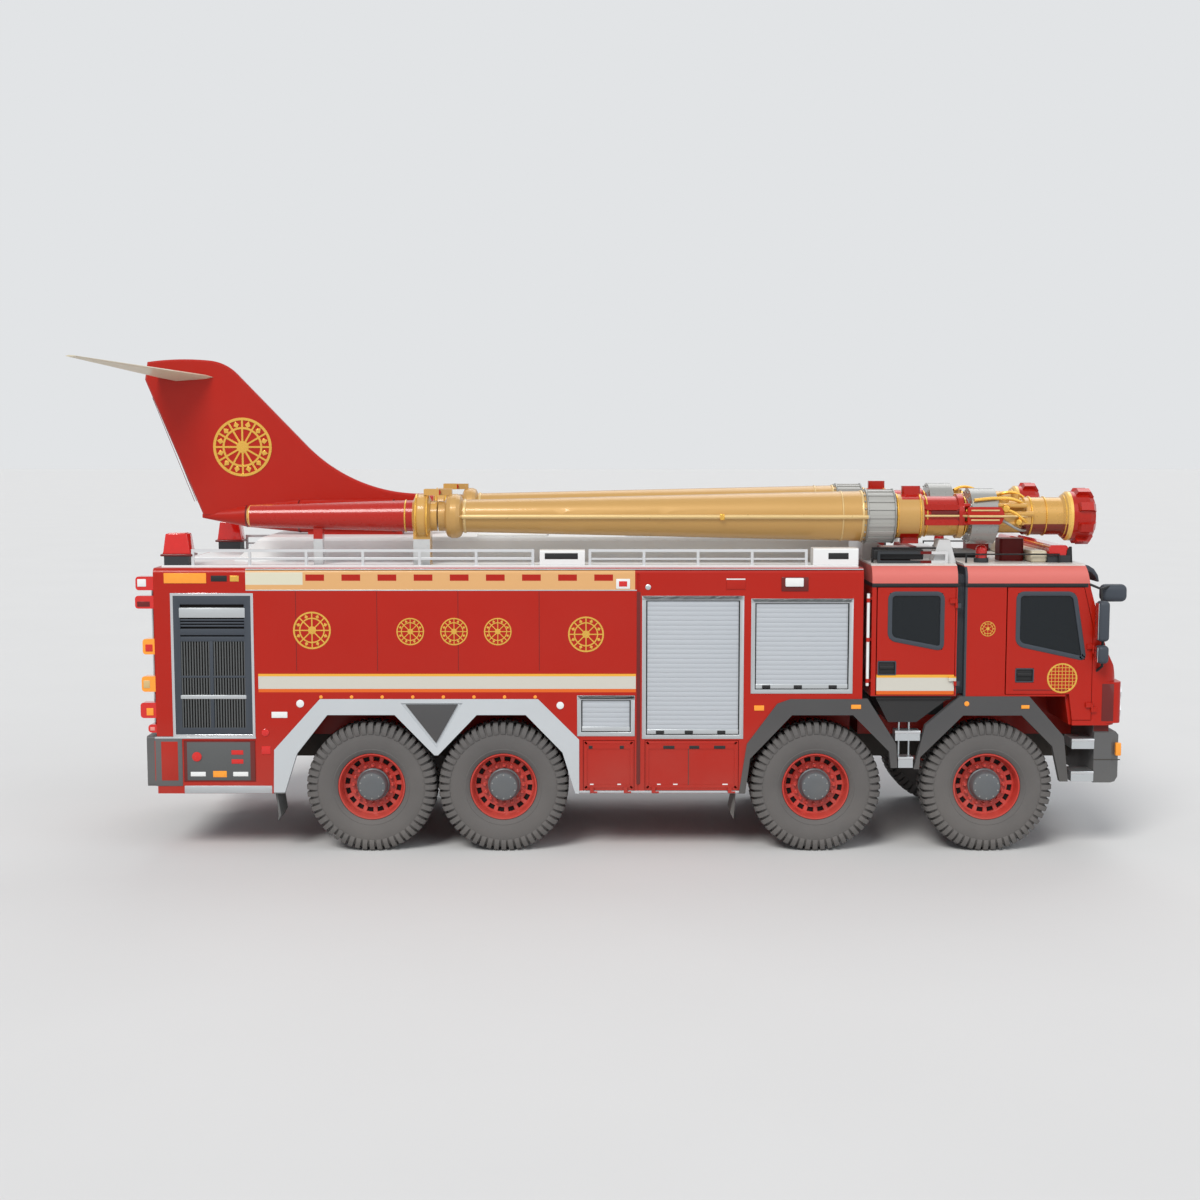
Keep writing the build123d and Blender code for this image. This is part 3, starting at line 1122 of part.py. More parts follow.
# equipment on the two cab roofs
equipment = both(block(BEACON_X - 135.0, BEACON_X + 135.0, -BEACON_Y - 120.0, -BEACON_Y + 120.0,
                       DECK_Z, DECK_Z + 120.0))
equipment += both(round_z(DOME_X, -1150.0, CAB_Z1, CAB_Z1 + 50.0, 80.0))
CRADLE_X = COLLAR_X1 + 560.0
cradle = side_plate(
    (
        (CRADLE_X - 130.0, CAB_Z1),
        (CRADLE_X - 60.0, BOOM_Z - 250.0 - CLEAR),
        (CRADLE_X + 60.0, BOOM_Z - 250.0 - CLEAR),
        (CRADLE_X + 130.0, CAB_Z1),
    ),
    -BOOM_Y - 110.0,
    -BOOM_Y + 110.0,
)
equipment += both(cradle)
# X0, X1, Y0, Y1, height over the cab roof
ROOF_BOXES = (
    (CAB_X0 + 490.0, CAB_X0 + 760.0, -960.0, -700.0, 250.0),
    (CAB_X0 + 490.0, CAB_X0 + 760.0, 700.0, 960.0, 250.0),
    (CREW_X0 + 560.0, CREW_X0 + 860.0, -450.0, 450.0, 130.0),
)
for x0, x1, y0, y1, height in ROOF_BOXES:
    equipment.append(rounded_block(x0, x1, y0, y1, CAB_Z1, CAB_Z1 + height, Axis.Z, 40.0))
equipment.append(block(CAB_X0 + 960.0, CAB_X0 + 1210.0, -1200.0, 1200.0, CAB_Z1, CAB_Z1 + 80.0))
RACK_Y = HALF_WIDTH - 210.0
rack = block(CREW_X0 + 80.0, CREW_X0 + 850.0, -RACK_Y - 30.0, -RACK_Y, CAB_Z1 + 100.0, CAB_Z1 + 130.0)
for x in (CREW_X0 + 80.0, CREW_X0 + 820.0):
    rack += block(x, x + 30.0, -RACK_Y - 30.0, -RACK_Y, CAB_Z1, CAB_Z1 + 130.0)
rack += block(CREW_X0 + 80.0, CREW_X0 + 850.0, -1318.0, -1292.0, CAB_Z1, CAB_Z1 + 30.0)
equipment += both(rack)
save("roof_equipment", equipment)
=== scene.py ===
"""Looks for an airport fire truck on eight wheels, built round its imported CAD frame. Metres."""

from contextlib import contextmanager
from math import cos, pi, radians, sin

import bpy
from mathutils import Matrix, Vector


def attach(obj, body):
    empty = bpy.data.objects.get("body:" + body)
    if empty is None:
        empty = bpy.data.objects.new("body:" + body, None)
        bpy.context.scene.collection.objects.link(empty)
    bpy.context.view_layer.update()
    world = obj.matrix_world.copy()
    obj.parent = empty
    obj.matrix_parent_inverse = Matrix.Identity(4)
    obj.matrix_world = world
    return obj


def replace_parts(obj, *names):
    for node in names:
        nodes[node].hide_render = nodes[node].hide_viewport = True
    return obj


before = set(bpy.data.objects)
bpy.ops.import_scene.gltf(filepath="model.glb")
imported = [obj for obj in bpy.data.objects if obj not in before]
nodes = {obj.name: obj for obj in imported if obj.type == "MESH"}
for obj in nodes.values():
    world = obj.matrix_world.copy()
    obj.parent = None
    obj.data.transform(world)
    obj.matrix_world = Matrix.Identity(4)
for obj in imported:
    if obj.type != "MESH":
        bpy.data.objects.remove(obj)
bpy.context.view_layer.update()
scene = bpy.context.scene

# ---- places of the frame's pieces
AXLE_X = {"1": 4.25, "2": 2.37, "3": -1.06, "4": -2.51}
WHEEL_Y = 1.265
HUB_Z = 0.715
FLANK_Y = 1.5             # flanks of body and cab
REAR_X = -4.84            # the body's rear face
BOOM_Y = 1.15
BOOM_Z = 3.68
BOOM_AXIS = Vector((0, -BOOM_Y, BOOM_Z))
FIN_Y = 0.05              # half the fin's thickness
MIRROR = Matrix.Diagonal((1, -1, 1, 1))
WAYS = {"X": Vector((1, 0, 0)), "Y": Vector((0, 1, 0)), "Z": Vector((0, 0, 1))}
TILTS = {"X": (0, pi / 2, 0), "Y": (pi / 2, 0, 0), "Z": (0, 0, 0)}
SHARP = radians(50)       # edges that turn more than this are rounded
SUNK = 0.03               # how deep a ring goes into what it lies round


# ---- modelling helpers
def choose(obj):
    """Make one object the only selected and active one."""
    bpy.ops.object.select_all(action="DESELECT")
    obj.select_set(True)
    bpy.context.view_layer.objects.active = obj


def added(primitive, **settings):
    """A primitive with its place written into its mesh."""
    bpy.ops.object.select_all(action="DESELECT")
    primitive(**settings)
    bpy.ops.object.transform_apply(location=True, rotation=True, scale=True)
    return bpy.context.object


@contextmanager
def editing(kind="VERT", whole=True):
    """Edit mode on the active piece, with the whole of it or what was chosen selected."""
    bpy.ops.object.mode_set(mode="EDIT")
    bpy.ops.mesh.select_mode(type=kind)
    if whole:
        bpy.ops.mesh.select_all(action="SELECT")
    yield
    bpy.ops.object.mode_set(mode="OBJECT")


def pick(obj, faces):
    """Select only some faces of a piece, before it goes into edit mode."""
    for items in (obj.data.vertices, obj.data.edges, obj.data.polygons):
        items.foreach_set("select", [False] * len(items))
    for index in faces:
        obj.data.polygons[index].select = True


def outwards():
    """Turn all faces of the piece in edit mode outwards."""
    bpy.ops.mesh.select_all(action="SELECT")
    bpy.ops.mesh.normals_make_consistent(inside=False)


def draw_out(move):
    """Draw what is selected out by a vector."""
    bpy.ops.mesh.extrude_region_move(TRANSFORM_OT_translate={"value": move})


def soften(offset):
    """Round the sharp edges of the piece in edit mode."""
    bpy.ops.mesh.select_mode(type="EDGE")
    bpy.ops.mesh.select_all(action="DESELECT")
    bpy.ops.mesh.edges_select_sharp(sharpness=SHARP)
    bpy.ops.mesh.bevel(offset=offset, segments=2, affect="EDGES")


def box(low, high, bevel=0.006, segments=2):
    """A block between two corners with rounded edges."""
    middle = [(a + b) / 2 for a, b in zip(low, high)]
    size = [abs(b - a) for a, b in zip(low, high)]
    obj = added(bpy.ops.mesh.primitive_cube_add, size=1, location=middle, scale=size)
    with editing():
        bpy.ops.mesh.bevel(offset=min(bevel, 0.45 * min(size)), segments=segments, affect="EDGES")
    return obj


def turned(axis, centre, rows, steps=48, hollow=False):
    """A lathe piece: a ring drawn out and resized from row to row of (place, radius) along an axis.
    A hollow one is closed from its last ring back to its first."""
    centre = Vector(centre)
    way = WAYS[axis]
    first, radius = rows[0]
    obj = added(bpy.ops.mesh.primitive_circle_add, vertices=steps, radius=radius,
                fill_type="NOTHING" if hollow else "NGON", location=centre + way * first, rotation=TILTS[axis])
    with editing():
        for (place, radius), (next_place, next_radius) in zip(rows, rows[1:]):
            draw_out(way * (next_place - place))
            k = next_radius / radius
            bpy.ops.transform.resize(value=(k, k, k), center_override=centre + way * next_place)
        if hollow:
            bpy.ops.mesh.select_all(action="DESELECT")
            bpy.ops.mesh.select_mode(type="EDGE")
            bpy.ops.mesh.select_non_manifold()
            bpy.ops.mesh.bridge_edge_loops()
        outwards()
    return obj


def hoop(centre, place, radius, half, crest, flat=0.0, steps=96):
    """A ring round a line along X, sunk into what it goes round. Its crest may be flat."""
    crown = [(place - flat, radius + crest), (place + flat, radius + crest)] if flat else [(place, radius + crest)]
    rows = [(place - half, radius - SUNK), (place - half, radius), *crown, (place + half, radius),
            (place + half, radius - SUNK)]
    return turned("X", centre, rows, steps, hollow=True)


def flat_face(points):
    """A flat face with its corners on points."""
    obj = added(bpy.ops.mesh.primitive_circle_add, vertices=len(points), radius=1, fill_type="NGON")
    for vertex, point in zip(obj.data.vertices, points):
        vertex.co = point
    return obj


def round_corners(offset):
    """Round the corners of the flat face in edit mode."""
    if offset:
        bpy.ops.mesh.bevel(offset=offset, segments=5, affect="VERTICES")
        bpy.ops.mesh.select_all(action="SELECT")


def plate(outline, y0, y1, corner=0.0, bevel=0.003):
    """A flat piece drawn out along Y from an outline of X, Z points."""
    obj = flat_face([(x, y0, z) for x, z in outline])
    with editing():
        round_corners(corner)
        draw_out((0, y1 - y0, 0))
        outwards()
        soften(bevel)
    return obj


def border(outline, width, y0, y1, corner=0.0, bevel=0.004):
    """A frame that runs inside an outline of X, Z points."""
    obj = flat_face([(x, y0, z) for x, z in outline])
    with editing():
        round_corners(corner)
        bpy.ops.mesh.select_mode(type="FACE")
        bpy.ops.mesh.select_all(action="SELECT")
        bpy.ops.mesh.inset(thickness=width)
        bpy.ops.mesh.delete(type="FACE")
        bpy.ops.mesh.select_all(action="SELECT")
        draw_out((0, y1 - y0, 0))
        outwards()
        soften(bevel)
    return obj


def oblong(x0, x1, z0, z1, inset=0.0):
    """The X, Z corners of an upright oblong, moved inwards by an inset."""
    return ((x0 + inset, z0 + inset), (x0 + inset, z1 - inset), (x1 - inset, z1 - inset), (x1 - inset, z0 + inset))


def pipe(points, radius, smooth=False, rounds=4):
    """A round bar along points, with mitred or smooth bends."""
    bpy.ops.object.select_all(action="DESELECT")
    bpy.ops.curve.primitive_bezier_curve_add(location=(0, 0, 0))
    curve = bpy.context.object.data
    bpy.ops.object.mode_set(mode="EDIT")
    bpy.ops.curve.select_all(action="SELECT")
    bpy.ops.curve.delete(type="VERT")
    for point in points:
        bpy.ops.curve.vertex_add(location=point)
    bpy.ops.curve.select_all(action="SELECT")
    bpy.ops.curve.handle_type_set(type="AUTOMATIC" if smooth else "VECTOR")
    bpy.ops.object.mode_set(mode="OBJECT")
    curve.dimensions = "3D"
    curve.bevel_depth = radius
    curve.bevel_resolution = rounds
    curve.resolution_u = 8 if smooth else 1
    curve.use_fill_caps = True
    bpy.ops.object.convert(target="MESH")
    bpy.ops.object.transform_apply(location=True, rotation=True, scale=True)
    return bpy.context.object


def copied(obj, name, move):
    """A copy of a piece with its own mesh, moved by a matrix. A mirrored one keeps its faces outwards."""
    twin = obj.copy()
    twin.data = obj.data.copy()
    twin.name = name
    twin.data.name = name
    scene.collection.objects.link(twin)
    twin.data.transform(move)
    if move.determinant() < 0:
        twin.data.flip_normals()
    return twin


def turned_about(centre, axis, angle):
    """A turn about an axis through a point."""
    centre = Vector(centre)
    return Matrix.Translation(centre) @ Matrix.Rotation(angle, 4, axis) @ Matrix.Translation(-centre)


def joined(name, parts):
    """Several parts made one piece."""
    bpy.ops.object.select_all(action="DESELECT")
    for part in parts:
        part.select_set(True)
    bpy.context.view_layer.objects.active = parts[0]
    if len(parts) > 1:
        bpy.ops.object.join()
    obj = bpy.context.object
    obj.name = name
    obj.data.name = name
    return obj


def modified(obj, kind, **settings):
    """A modifier set and applied."""
    choose(obj)
    bpy.ops.object.modifier_add(type=kind)
    modifier = obj.modifiers[-1]
    for key, value in settings.items():
        setattr(modifier, key, value)
    bpy.ops.object.modifier_apply(modifier=modifier.name)
    return obj


def round_row(obj, count, axis, centre):
    """A part and its copies spread evenly round an axis."""
    turns = [turned_about(centre, axis, 2 * pi * step / count) for step in range(1, count)]
    return joined("round_row", [obj] + [copied(obj, "copy", turn) for turn in turns])


def straight_row(obj, count, step):
    """A part and its copies at equal steps."""
    return modified(obj, "ARRAY", count=count, use_relative_offset=False, use_constant_offset=True,
                    constant_offset_displace=step)


def both_sides(obj):
    """The same piece on the truck's other flank, in one mesh."""
    return modified(obj, "MIRROR", use_axis=(False, True, False), use_mirror_merge=False)


def tinted(obj, *looks):
    """Give a part or a node its finish, or more than one."""
    obj.data.materials.clear()
    for look in looks:
        obj.data.materials.append(look.material)
    return obj


def add(parts, look, *more):
    """Add parts of one finish to a list."""
    parts += [tinted(part, look) for part in more]


def blocks(rows, segments=2):
    """Blocks from rows of name, low corner, high corner, rounding, finish."""
    parts = []
    for name, low, high, rounding, look in rows:
        parts.append(tinted(box(low, high, rounding, segments), look))
        parts[-1].name = name
    return parts


def smoothed(obj, degrees):
    choose(obj)
    bpy.ops.object.shade_smooth_by_angle(angle=radians(degrees))
    return obj


def shown(name, parts, both=False, smooth=35):
    """Parts made one fixed piece, on the right flank alone or on both."""
    obj = joined(name, parts)
    if both:
        both_sides(obj)
    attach(smoothed(obj, smooth), "chassis")
    return obj


def shown_pair(name, parts, body, smooth=35):
    """Parts made one piece on a moving body of the right flank, and its mirrored copy on the left."""
    right = joined(f"{name}_right", parts)
    left = copied(right, f"{name}_left", MIRROR)
    for side, obj in (("right", right), ("left", left)):
        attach(smoothed(obj, smooth), f"{body}_{side}")


# ---- finishes
SPECULAR = 0.26           # shine under the coats


def tone(red, green, blue):
    """A colour from 0 to 255 as the renderer's linear values."""
    return tuple(((c / 255 + 0.055) / 1.055) ** 2.4 if c > 10 else c / 255 / 12.92 for c in (red, green, blue)) + (1,)


def put(node, **values):
    """Set a node's inputs, with _ for each space in a name."""
    for key, value in values.items():
        node.inputs[key.replace("_", " ")].default_value = value


class Finish:
    """A material built up from mottled colour, bands, dust, uneven gloss and grain. Colours run from 0 to 255."""

    def __init__(self, name, colour, rough, metal=0.0, mottle=0.1, size=1.2):
        self.material = bpy.data.materials.new(name)
        self.material.use_nodes = True
        self.tree = self.material.node_tree
        self.shader = self.tree.nodes["Principled BSDF"]
        put(self.shader, Metallic=metal, Specular_IOR_Level=SPECULAR)
        self.place = self.node("ShaderNodeTexCoord").outputs["Object"]
        plain = tone(*colour)[:3]
        self.colour, light = (tuple(min(1, c * k) for c in plain) + (1,) for k in (1 - mottle, 1 + mottle))
        self.over(self.noise(size, 2.0), light)
        gloss = self.ranged(self.noise(size * 9, 3.0), 0.3, 0.7, max(0.02, rough - 0.03), min(1.0, rough + 0.05))
        self.link(gloss, self.shader.inputs["Roughness"])

    def node(self, kind):
        return self.tree.nodes.new(kind)

    def link(self, start, end):
        self.tree.links.new(start, end)

    def feed(self, socket, value):
        """Give a socket a plain value or link it to another socket."""
        if isinstance(value, (int, float, tuple)):
            socket.default_value = value
        else:
            self.link(value, socket)

    def noise(self, scale, detail):
        texture = self.node("ShaderNodeTexNoise")
        put(texture, Scale=scale, Detail=detail)
        self.link(self.place, texture.inputs["Vector"])
        return texture.outputs["Fac"]

    def ranged(self, value, low, high, to_low, to_high):
        """A value carried from one range to another."""
        node = self.node("ShaderNodeMapRange")
        self.link(value, node.inputs["Value"])
        put(node, From_Min=low, From_Max=high, To_Min=to_low, To_Max=to_high)
        return node.outputs["Result"]

    def over(self, share, colour):
        """Lay a linear colour over what is there."""
        mix = self.node("ShaderNodeMix")
        mix.data_type = "RGBA"
        self.link(share, mix.inputs["Factor"])
        for socket, value in zip([i for i in mix.inputs if i.type == "RGBA"], (self.colour, colour)):
            self.feed(socket, value)
        self.colour = [o for o in mix.outputs if o.type == "RGBA"][0]
        self.link(self.colour, self.shader.inputs["Base Color"])

    def sums(self, operation, first, second=0):
        node = self.node("ShaderNodeMath")
        node.operation = operation
        self.feed(node.inputs[0], first)
        self.feed(node.inputs[1], second)
        return node.outputs[0]

    def axes(self):
        parts = self.node("ShaderNodeSeparateXYZ")
        self.link(self.place, parts.inputs[0])
        return parts.outputs

    def within(self, socket, low, high):
        """1 between two values, 0 outside."""
        return self.sums("MULTIPLY", self.sums("GREATER_THAN", socket, low), self.sums("LESS_THAN", socket, high))

    def bands(self, *rows):
        """Painted bands: X0, X1, Z0, Z1, colour."""
        x, y, z = self.axes()
        for x0, x1, z0, z1, colour in rows:
            mask = self.sums("MULTIPLY", self.within(x, x0, x1), self.within(z, z0, z1))
            self.over(mask, tone(*colour))
        return self

    def dashes(self, x0, x1, z0, z1, pitch, share, colour):
        """A row of painted dashes along X."""
        x, y, z = self.axes()
        phase = self.sums("FRACT", self.sums("DIVIDE", self.sums("SUBTRACT", x, x0), pitch))
        mask = self.sums("MULTIPLY", self.within(x, x0, x1), self.within(z, z0, z1))
        mask = self.sums("MULTIPLY", mask, self.sums("LESS_THAN", phase, share))
        self.over(mask, tone(*colour))
        return self

    def dusty(self, amount, colour=(0.3, 0.26, 0.21, 1), top=1.5, low=0.35):
        """Road dust of a linear colour that gathers towards the ground."""
        x, y, z = self.axes()
        fade = self.ranged(z, low, top, amount, amount * 0.12)
        patches = self.sums("MULTIPLY", fade, self.sums("MULTIPLY", self.noise(1.6, 8.0), 1.7))
        self.over(patches, colour)
        return self

    def grained(self, strength, scale):
        """A fine bump."""
        bump = self.node("ShaderNodeBump")
        put(bump, Strength=strength, Distance=0.002)
        self.link(self.noise(scale, 4.0), bump.inputs["Height"])
        self.link(bump.outputs["Normal"], self.shader.inputs["Normal"])
        return self

    def coated(self, weight):
        put(self.shader, Coat_Weight=weight, Coat_Roughness=0.08)
        return self

    def glowing(self, colour, strength):
        put(self.shader, Emission_Color=tone(*colour), Emission_Strength=strength)
        return self

    def clear(self, share):
        put(self.shader, Transmission_Weight=share, IOR=1.45)
        return self


def red_gloss(name):
    return Finish(name, RED, 0.32, mottle=0.04).coated(0.08)


def lens(name, colour, rough=0.14, mottle=0.1):
    return Finish(name, colour, rough, mottle=mottle, size=12).coated(0.8)


RED = (172, 22, 2)
DEEP_RED = (100, 14, 11)
WHITE = (202, 199, 188)
YELLOW = (232, 170, 60)
ORANGE = (220, 100, 30)
GOLD = (200, 154, 80)

STRIPE = (-3.72, 0.39)    # ends of the flank's stripe
CREW_STRIPE = (2.94, 3.9)
CAB_STRIPE = (2.9, 5.7)
BOOM_HEIGHTS = (3.0, 4.2)

red_paint = red_gloss("red_gloss_paint").dusty(0.16)
body_paint = red_gloss("red_body_paint_with_bands").bands(
    (-3.84, 0.38, 2.895, 3.115, (218, 168, 112)),
    (-3.84, -3.22, 2.95, 3.085, (214, 210, 188)),
    (*STRIPE, 1.775, 1.977, ORANGE),
    (*STRIPE, 1.812, 1.977, WHITE),
    (*STRIPE, 1.95, 1.977, YELLOW),
).dashes(-3.19, 0.3, 2.993, 3.062, 0.391, 0.52, RED).dusty(0.14)
crew_paint = red_gloss("red_crew_door_paint_with_bands").bands(
    (*CREW_STRIPE, 1.727, 1.967, ORANGE),
    (*CREW_STRIPE, 1.79, 1.967, WHITE),
    (*CREW_STRIPE, 1.935, 1.967, YELLOW),
).dusty(0.16)
cab_paint_with_shoulder_highlight = red_gloss("cab_paint_with_painted_shoulder_highlight").bands(
    # painted highlight: the pink band along the cab's rounded shoulder stands in for light falling on it from above
    (*CAB_STRIPE, 2.965, 3.165, (210, 112, 104)),
    (*CAB_STRIPE, 3.15, 3.3, (212, 208, 203)),
    (3.876, 3.984, 1.7, 3.14, (58, 62, 68)),
    (2.9, 5.29, 2.921, 2.966, (40, 43, 47)),
    (2.95, 3.93, 1.38, 1.735, (44, 44, 45)),
).dusty(0.14)
deep_red = Finish("deep_red_paint", DEEP_RED, 0.35).dusty(0.12).coated(0.4)
white_paint = Finish("white_deck_paint", (228, 229, 228), 0.45, mottle=0.03).grained(0.15, 60)
cream_paint = Finish("cream_plane_paint", (205, 196, 172), 0.38, mottle=0.06).coated(0.3)
arch_white = Finish("pale_arch_plastic", (190, 195, 198), 0.55, mottle=0.04).bands(
    (-3.6, -3.2, 0.1, 0.668, (92, 94, 95)),
).dusty(0.14).grained(0.2, 220)
arch_grey = Finish("grey_arch_plastic", (75, 75, 76), 0.6, mottle=0.05).dusty(0.2).grained(0.25, 220)
panel_grey = Finish("grey_panel", (88, 90, 90), 0.55, mottle=0.08).grained(0.2, 160)
black = Finish("black_plastic", (34, 35, 37), 0.5, mottle=0.15).dusty(0.12).grained(0.25, 240)
slate = Finish("slate_grey_trim", (62, 68, 76), 0.45, mottle=0.1).dusty(0.1)
bumper_grey = Finish("bumper_grey", (92, 93, 94), 0.5, mottle=0.08).dusty(0.18).grained(0.2, 200)
chassis_black = Finish("chassis_black", (30, 31, 32), 0.55, mottle=0.2).dusty(0.35, top=2.0)
iron = Finish("engine_iron", (70, 66, 62), 0.6, metal=0.3, mottle=0.25, size=6).grained(0.4, 90)
silver = Finish("satin_aluminium", (196, 200, 202), 0.32, metal=0.85, mottle=0.05).grained(0.08, 300)
chrome = Finish("polished_trim", (214, 216, 218), 0.14, metal=1.0, mottle=0.04)
curtain = Finish("shutter_slats", (184, 189, 194), 0.42, metal=0.2, mottle=0.02).grained(0.06, 400)
bright_gold = Finish("bright_gold", (236, 184, 84), 0.24, metal=0.8, size=5).coated(0.16)
pale_gold = Finish("pale_gold_pipe", (214, 184, 128), 0.3, metal=0.35, mottle=0.04).coated(0.2)
steel_grey = Finish("collar_grey", (158, 158, 154), 0.38, metal=0.75)
hub_grey = Finish("hub_cap_grey", (90, 97, 103), 0.42, metal=0.25, mottle=0.08, size=6).dusty(0.25)
rim_red = Finish("rim_red", (196, 44, 34), 0.34, mottle=0.12, size=5).dusty(0.22).coated(0.4)
# painted shade: near black that stands in for the dark inside the rims' vents and behind the grilles
painted_opening_shade = Finish("painted_shade_in_vents_and_grilles", (24, 20, 19), 0.8, mottle=0.2)
rail_white = Finish("pale_rail_paint", (206, 208, 209), 0.35, metal=0.2, mottle=0.04)
window = Finish("window_glass", (30, 38, 44), 0.05, mottle=0.05).clear(0.55)
red_lens = lens("red_lens", (200, 26, 20), 0.12).glowing((200, 20, 15), 0.06)
pink_lens = lens("pale_red_lens", (226, 140, 130), mottle=0.06)
amber_lens = lens("amber_lens", (240, 150, 40)).glowing((240, 140, 30), 0.1)
clear_lens = lens("clear_lens", (228, 230, 228), 0.1, mottle=0.06)
seat_cloth = Finish("seat_cloth", (58, 60, 66), 0.9, mottle=0.12, size=14).grained(0.6, 500)
rubber = Finish("tyre_rubber", (92, 90, 89), 0.82, mottle=0.12, size=4).dusty(
    0.3, colour=(0.22, 0.2, 0.18, 1), top=1.6, low=0.0).grained(0.35, 160)
boom_paint = Finish("boom_gold_with_collar", (190, 148, 84), 0.36, metal=0.12, mottle=0.03).bands(
    (2.895, 3.215, *BOOM_HEIGHTS, (166, 165, 160)),
    (3.29, 3.515, 3.865, 4.2, RED),
    (3.28, 3.5, 3.0, 3.495, RED),
).coated(0.5)
nozzle_paint = Finish("nozzle_paint", RED, 0.28, metal=0.25, mottle=0.06).bands(
    (3.5, 4.02, 3.0, 3.585, GOLD),
    (4.02, 4.318, *BOOM_HEIGHTS, (150, 150, 146)),
    (4.318, 5.09, *BOOM_HEIGHTS, GOLD),
    (4.6, 5.09, 3.0, 3.6, (120, 40, 24)),
    (5.09, 5.14, *BOOM_HEIGHTS, (236, 190, 96)),
).coated(0.5)
sleeve_paint = Finish("sleeve_paint", RED, 0.28, mottle=0.05).bands(
    (-4.0, -1.7, 3.0, 3.43, (196, 198, 198)),
    (-2.05, -1.85, 3.43, 4.3, GOLD),
    (-1.86, -1.76, 3.0, 4.3, GOLD),
    (-3.88, -3.835, 3.0, 4.3, (222, 172, 84)),
).coated(0.5)
equipment_paint = Finish("roof_equipment_paint", (52, 55, 58), 0.45, mottle=0.08).bands(
    (3.5, 3.82, 3.16, 3.36, DEEP_RED),
    (4.44, 4.73, 3.16, 3.6, DEEP_RED),
    (3.62, 3.92, 3.17, 3.44, (205, 206, 206)),
)
bumper_paint = Finish("bumper_paint", (88, 89, 90), 0.46, mottle=0.04).bands(
    (-4.865, -4.7, 0.8, 1.24, RED),
    (5.405, 5.7, 1.335, 1.5, DEEP_RED),
).dusty(0.18).grained(0.15, 200)

# ---- CAD nodes that keep their shape
# finish, how the names of its nodes start
COATS = (
    (body_paint, "body_upper"),
    (red_paint, "body_lower", "door_front", "locker_a", "locker_b", "tail_fin"),
    (crew_paint, "door_crew"),
    (cab_paint_with_shoulder_highlight, "cab_shell"),
    (white_paint, "roof_deck"),
    (arch_white, "rear_arches"),
    (arch_grey, "front_arches"),
    (chassis_black, "axles", "chassis_frame", "knuckle"),
    (iron, "engine_block"),
    (black, "dashboard"),
    (window, "windscreen", "glass"),
    (boom_paint, "boom_right", "boom_left"),
    (nozzle_paint, "nozzle"),
    (sleeve_paint, "boom_sleeves"),
    (cream_paint, "tail_plane"),
    (rail_white, "roof_rails"),
    (silver, "steps"),
    (red_lens, "lamps_red"),
    (amber_lens, "lamps_amber"),
    (equipment_paint, "roof_equipment"),
    (bumper_paint, "bumpers"),
)
for look, *starts in COATS:
    for name, node in nodes.items():
        if name.startswith(tuple(starts)):
            tinted(node, look)

# ---- tyres
LUGS = 52
# distance from the centre plane, radius, from the inner bead over the tread to the outer bead
CARCASS = (
    (-0.165, 0.372), (-0.186, 0.392), (-0.204, 0.45), (-0.212, 0.52), (-0.206, 0.58), (-0.184, 0.645),
    (-0.155, 0.678), (-0.06, 0.686), (0.06, 0.686), (0.155, 0.678), (0.184, 0.645), (0.206, 0.58),
    (0.212, 0.52), (0.204, 0.45), (0.196, 0.425), (0.199, 0.418), (0.186, 0.392), (0.165, 0.372),
)
# the same pair for the outline of one tread bar
LUG = (
    (0.01, 0.682), (0.01, 0.713), (0.158, 0.713), (0.194, 0.694), (0.214, 0.63), (0.213, 0.59),
    (0.203, 0.584), (0.18, 0.645), (0.155, 0.676),
)
LUG_HALF = 0.026          # half a bar's thickness


def tread_bar(wheel):
    """One bar from the middle of the tread over the shoulder on to the sidewall."""
    bar = flat_face([(wheel.x - LUG_HALF, wheel.y - out, wheel.z + radius) for out, radius in LUG])
    with editing():
        draw_out((2 * LUG_HALF, 0, 0))
        outwards()
        bpy.ops.mesh.bevel(offset=0.0025, segments=1, affect="EDGES")
    return bar


hub = Vector((AXLE_X["1"], -WHEEL_Y, HUB_Z))
carcass = turned("Y", hub, [(-out, radius) for out, radius in CARCASS], steps=96, hollow=True)
outer_bars = round_row(tread_bar(hub), LUGS, "Y", hub)
to_hub = Matrix.Translation(hub)
flip = to_hub @ MIRROR @ Matrix.Rotation(pi / LUGS, 4, "Y") @ to_hub.inverted()
inner_bars = copied(outer_bars, "inner_bars", flip)
first_tyre = tinted(joined("tyre_look_1_right", [carcass, outer_bars, inner_bars]), rubber)
smoothed(first_tyre, 30)

# ---- rims
NUTS = 16
VENT_STEP, VENT_FACES = 6, 4          # of each six faces of the ring, four make a vent
DISH = (
    (-0.04, 0.061), (-0.04, 0.15), (-0.005, 0.322), (-0.16, 0.346), (-0.165, 0.369), (0.16, 0.369),
    (0.166, 0.364), (0.166, 0.354), (0.158, 0.348), (0.08, 0.338), (0.04, 0.326), (0.03, 0.314),
    (0.026, 0.256), (0.02, 0.244), (0.018, 0.18),
)


def rim_dish(wheel):
    """The red dish with a ring of vents, whose sunken faces get a near black painted shade."""
    dish = turned("Y", wheel, [(-out, radius) for out, radius in DISH], steps=96)
    tinted(dish, rim_red, painted_opening_shade)
    ring = []
    for face in dish.data.polygons:
        away = face.center - wheel
        flat = Vector((away.x, away.z))
        if 0.27 < flat.length < 0.3 and away.y < 0 and abs(face.normal.y) > 0.8:
            ring.append((Vector((1, 0)).angle_signed(flat) % (2 * pi), face.index))
    ring.sort()
    pick(dish, [index for place, (angle, index) in enumerate(ring) if place % VENT_STEP < VENT_FACES])
    with editing("FACE", whole=False):
        bpy.ops.mesh.inset(thickness=0.004, depth=-0.004)
        bpy.ops.mesh.inset(thickness=0.001, depth=-0.02)
        # the vents' sunken faces take the near black painted shade
        dish.active_material_index = 1
        bpy.ops.object.material_slot_assign()
    return dish


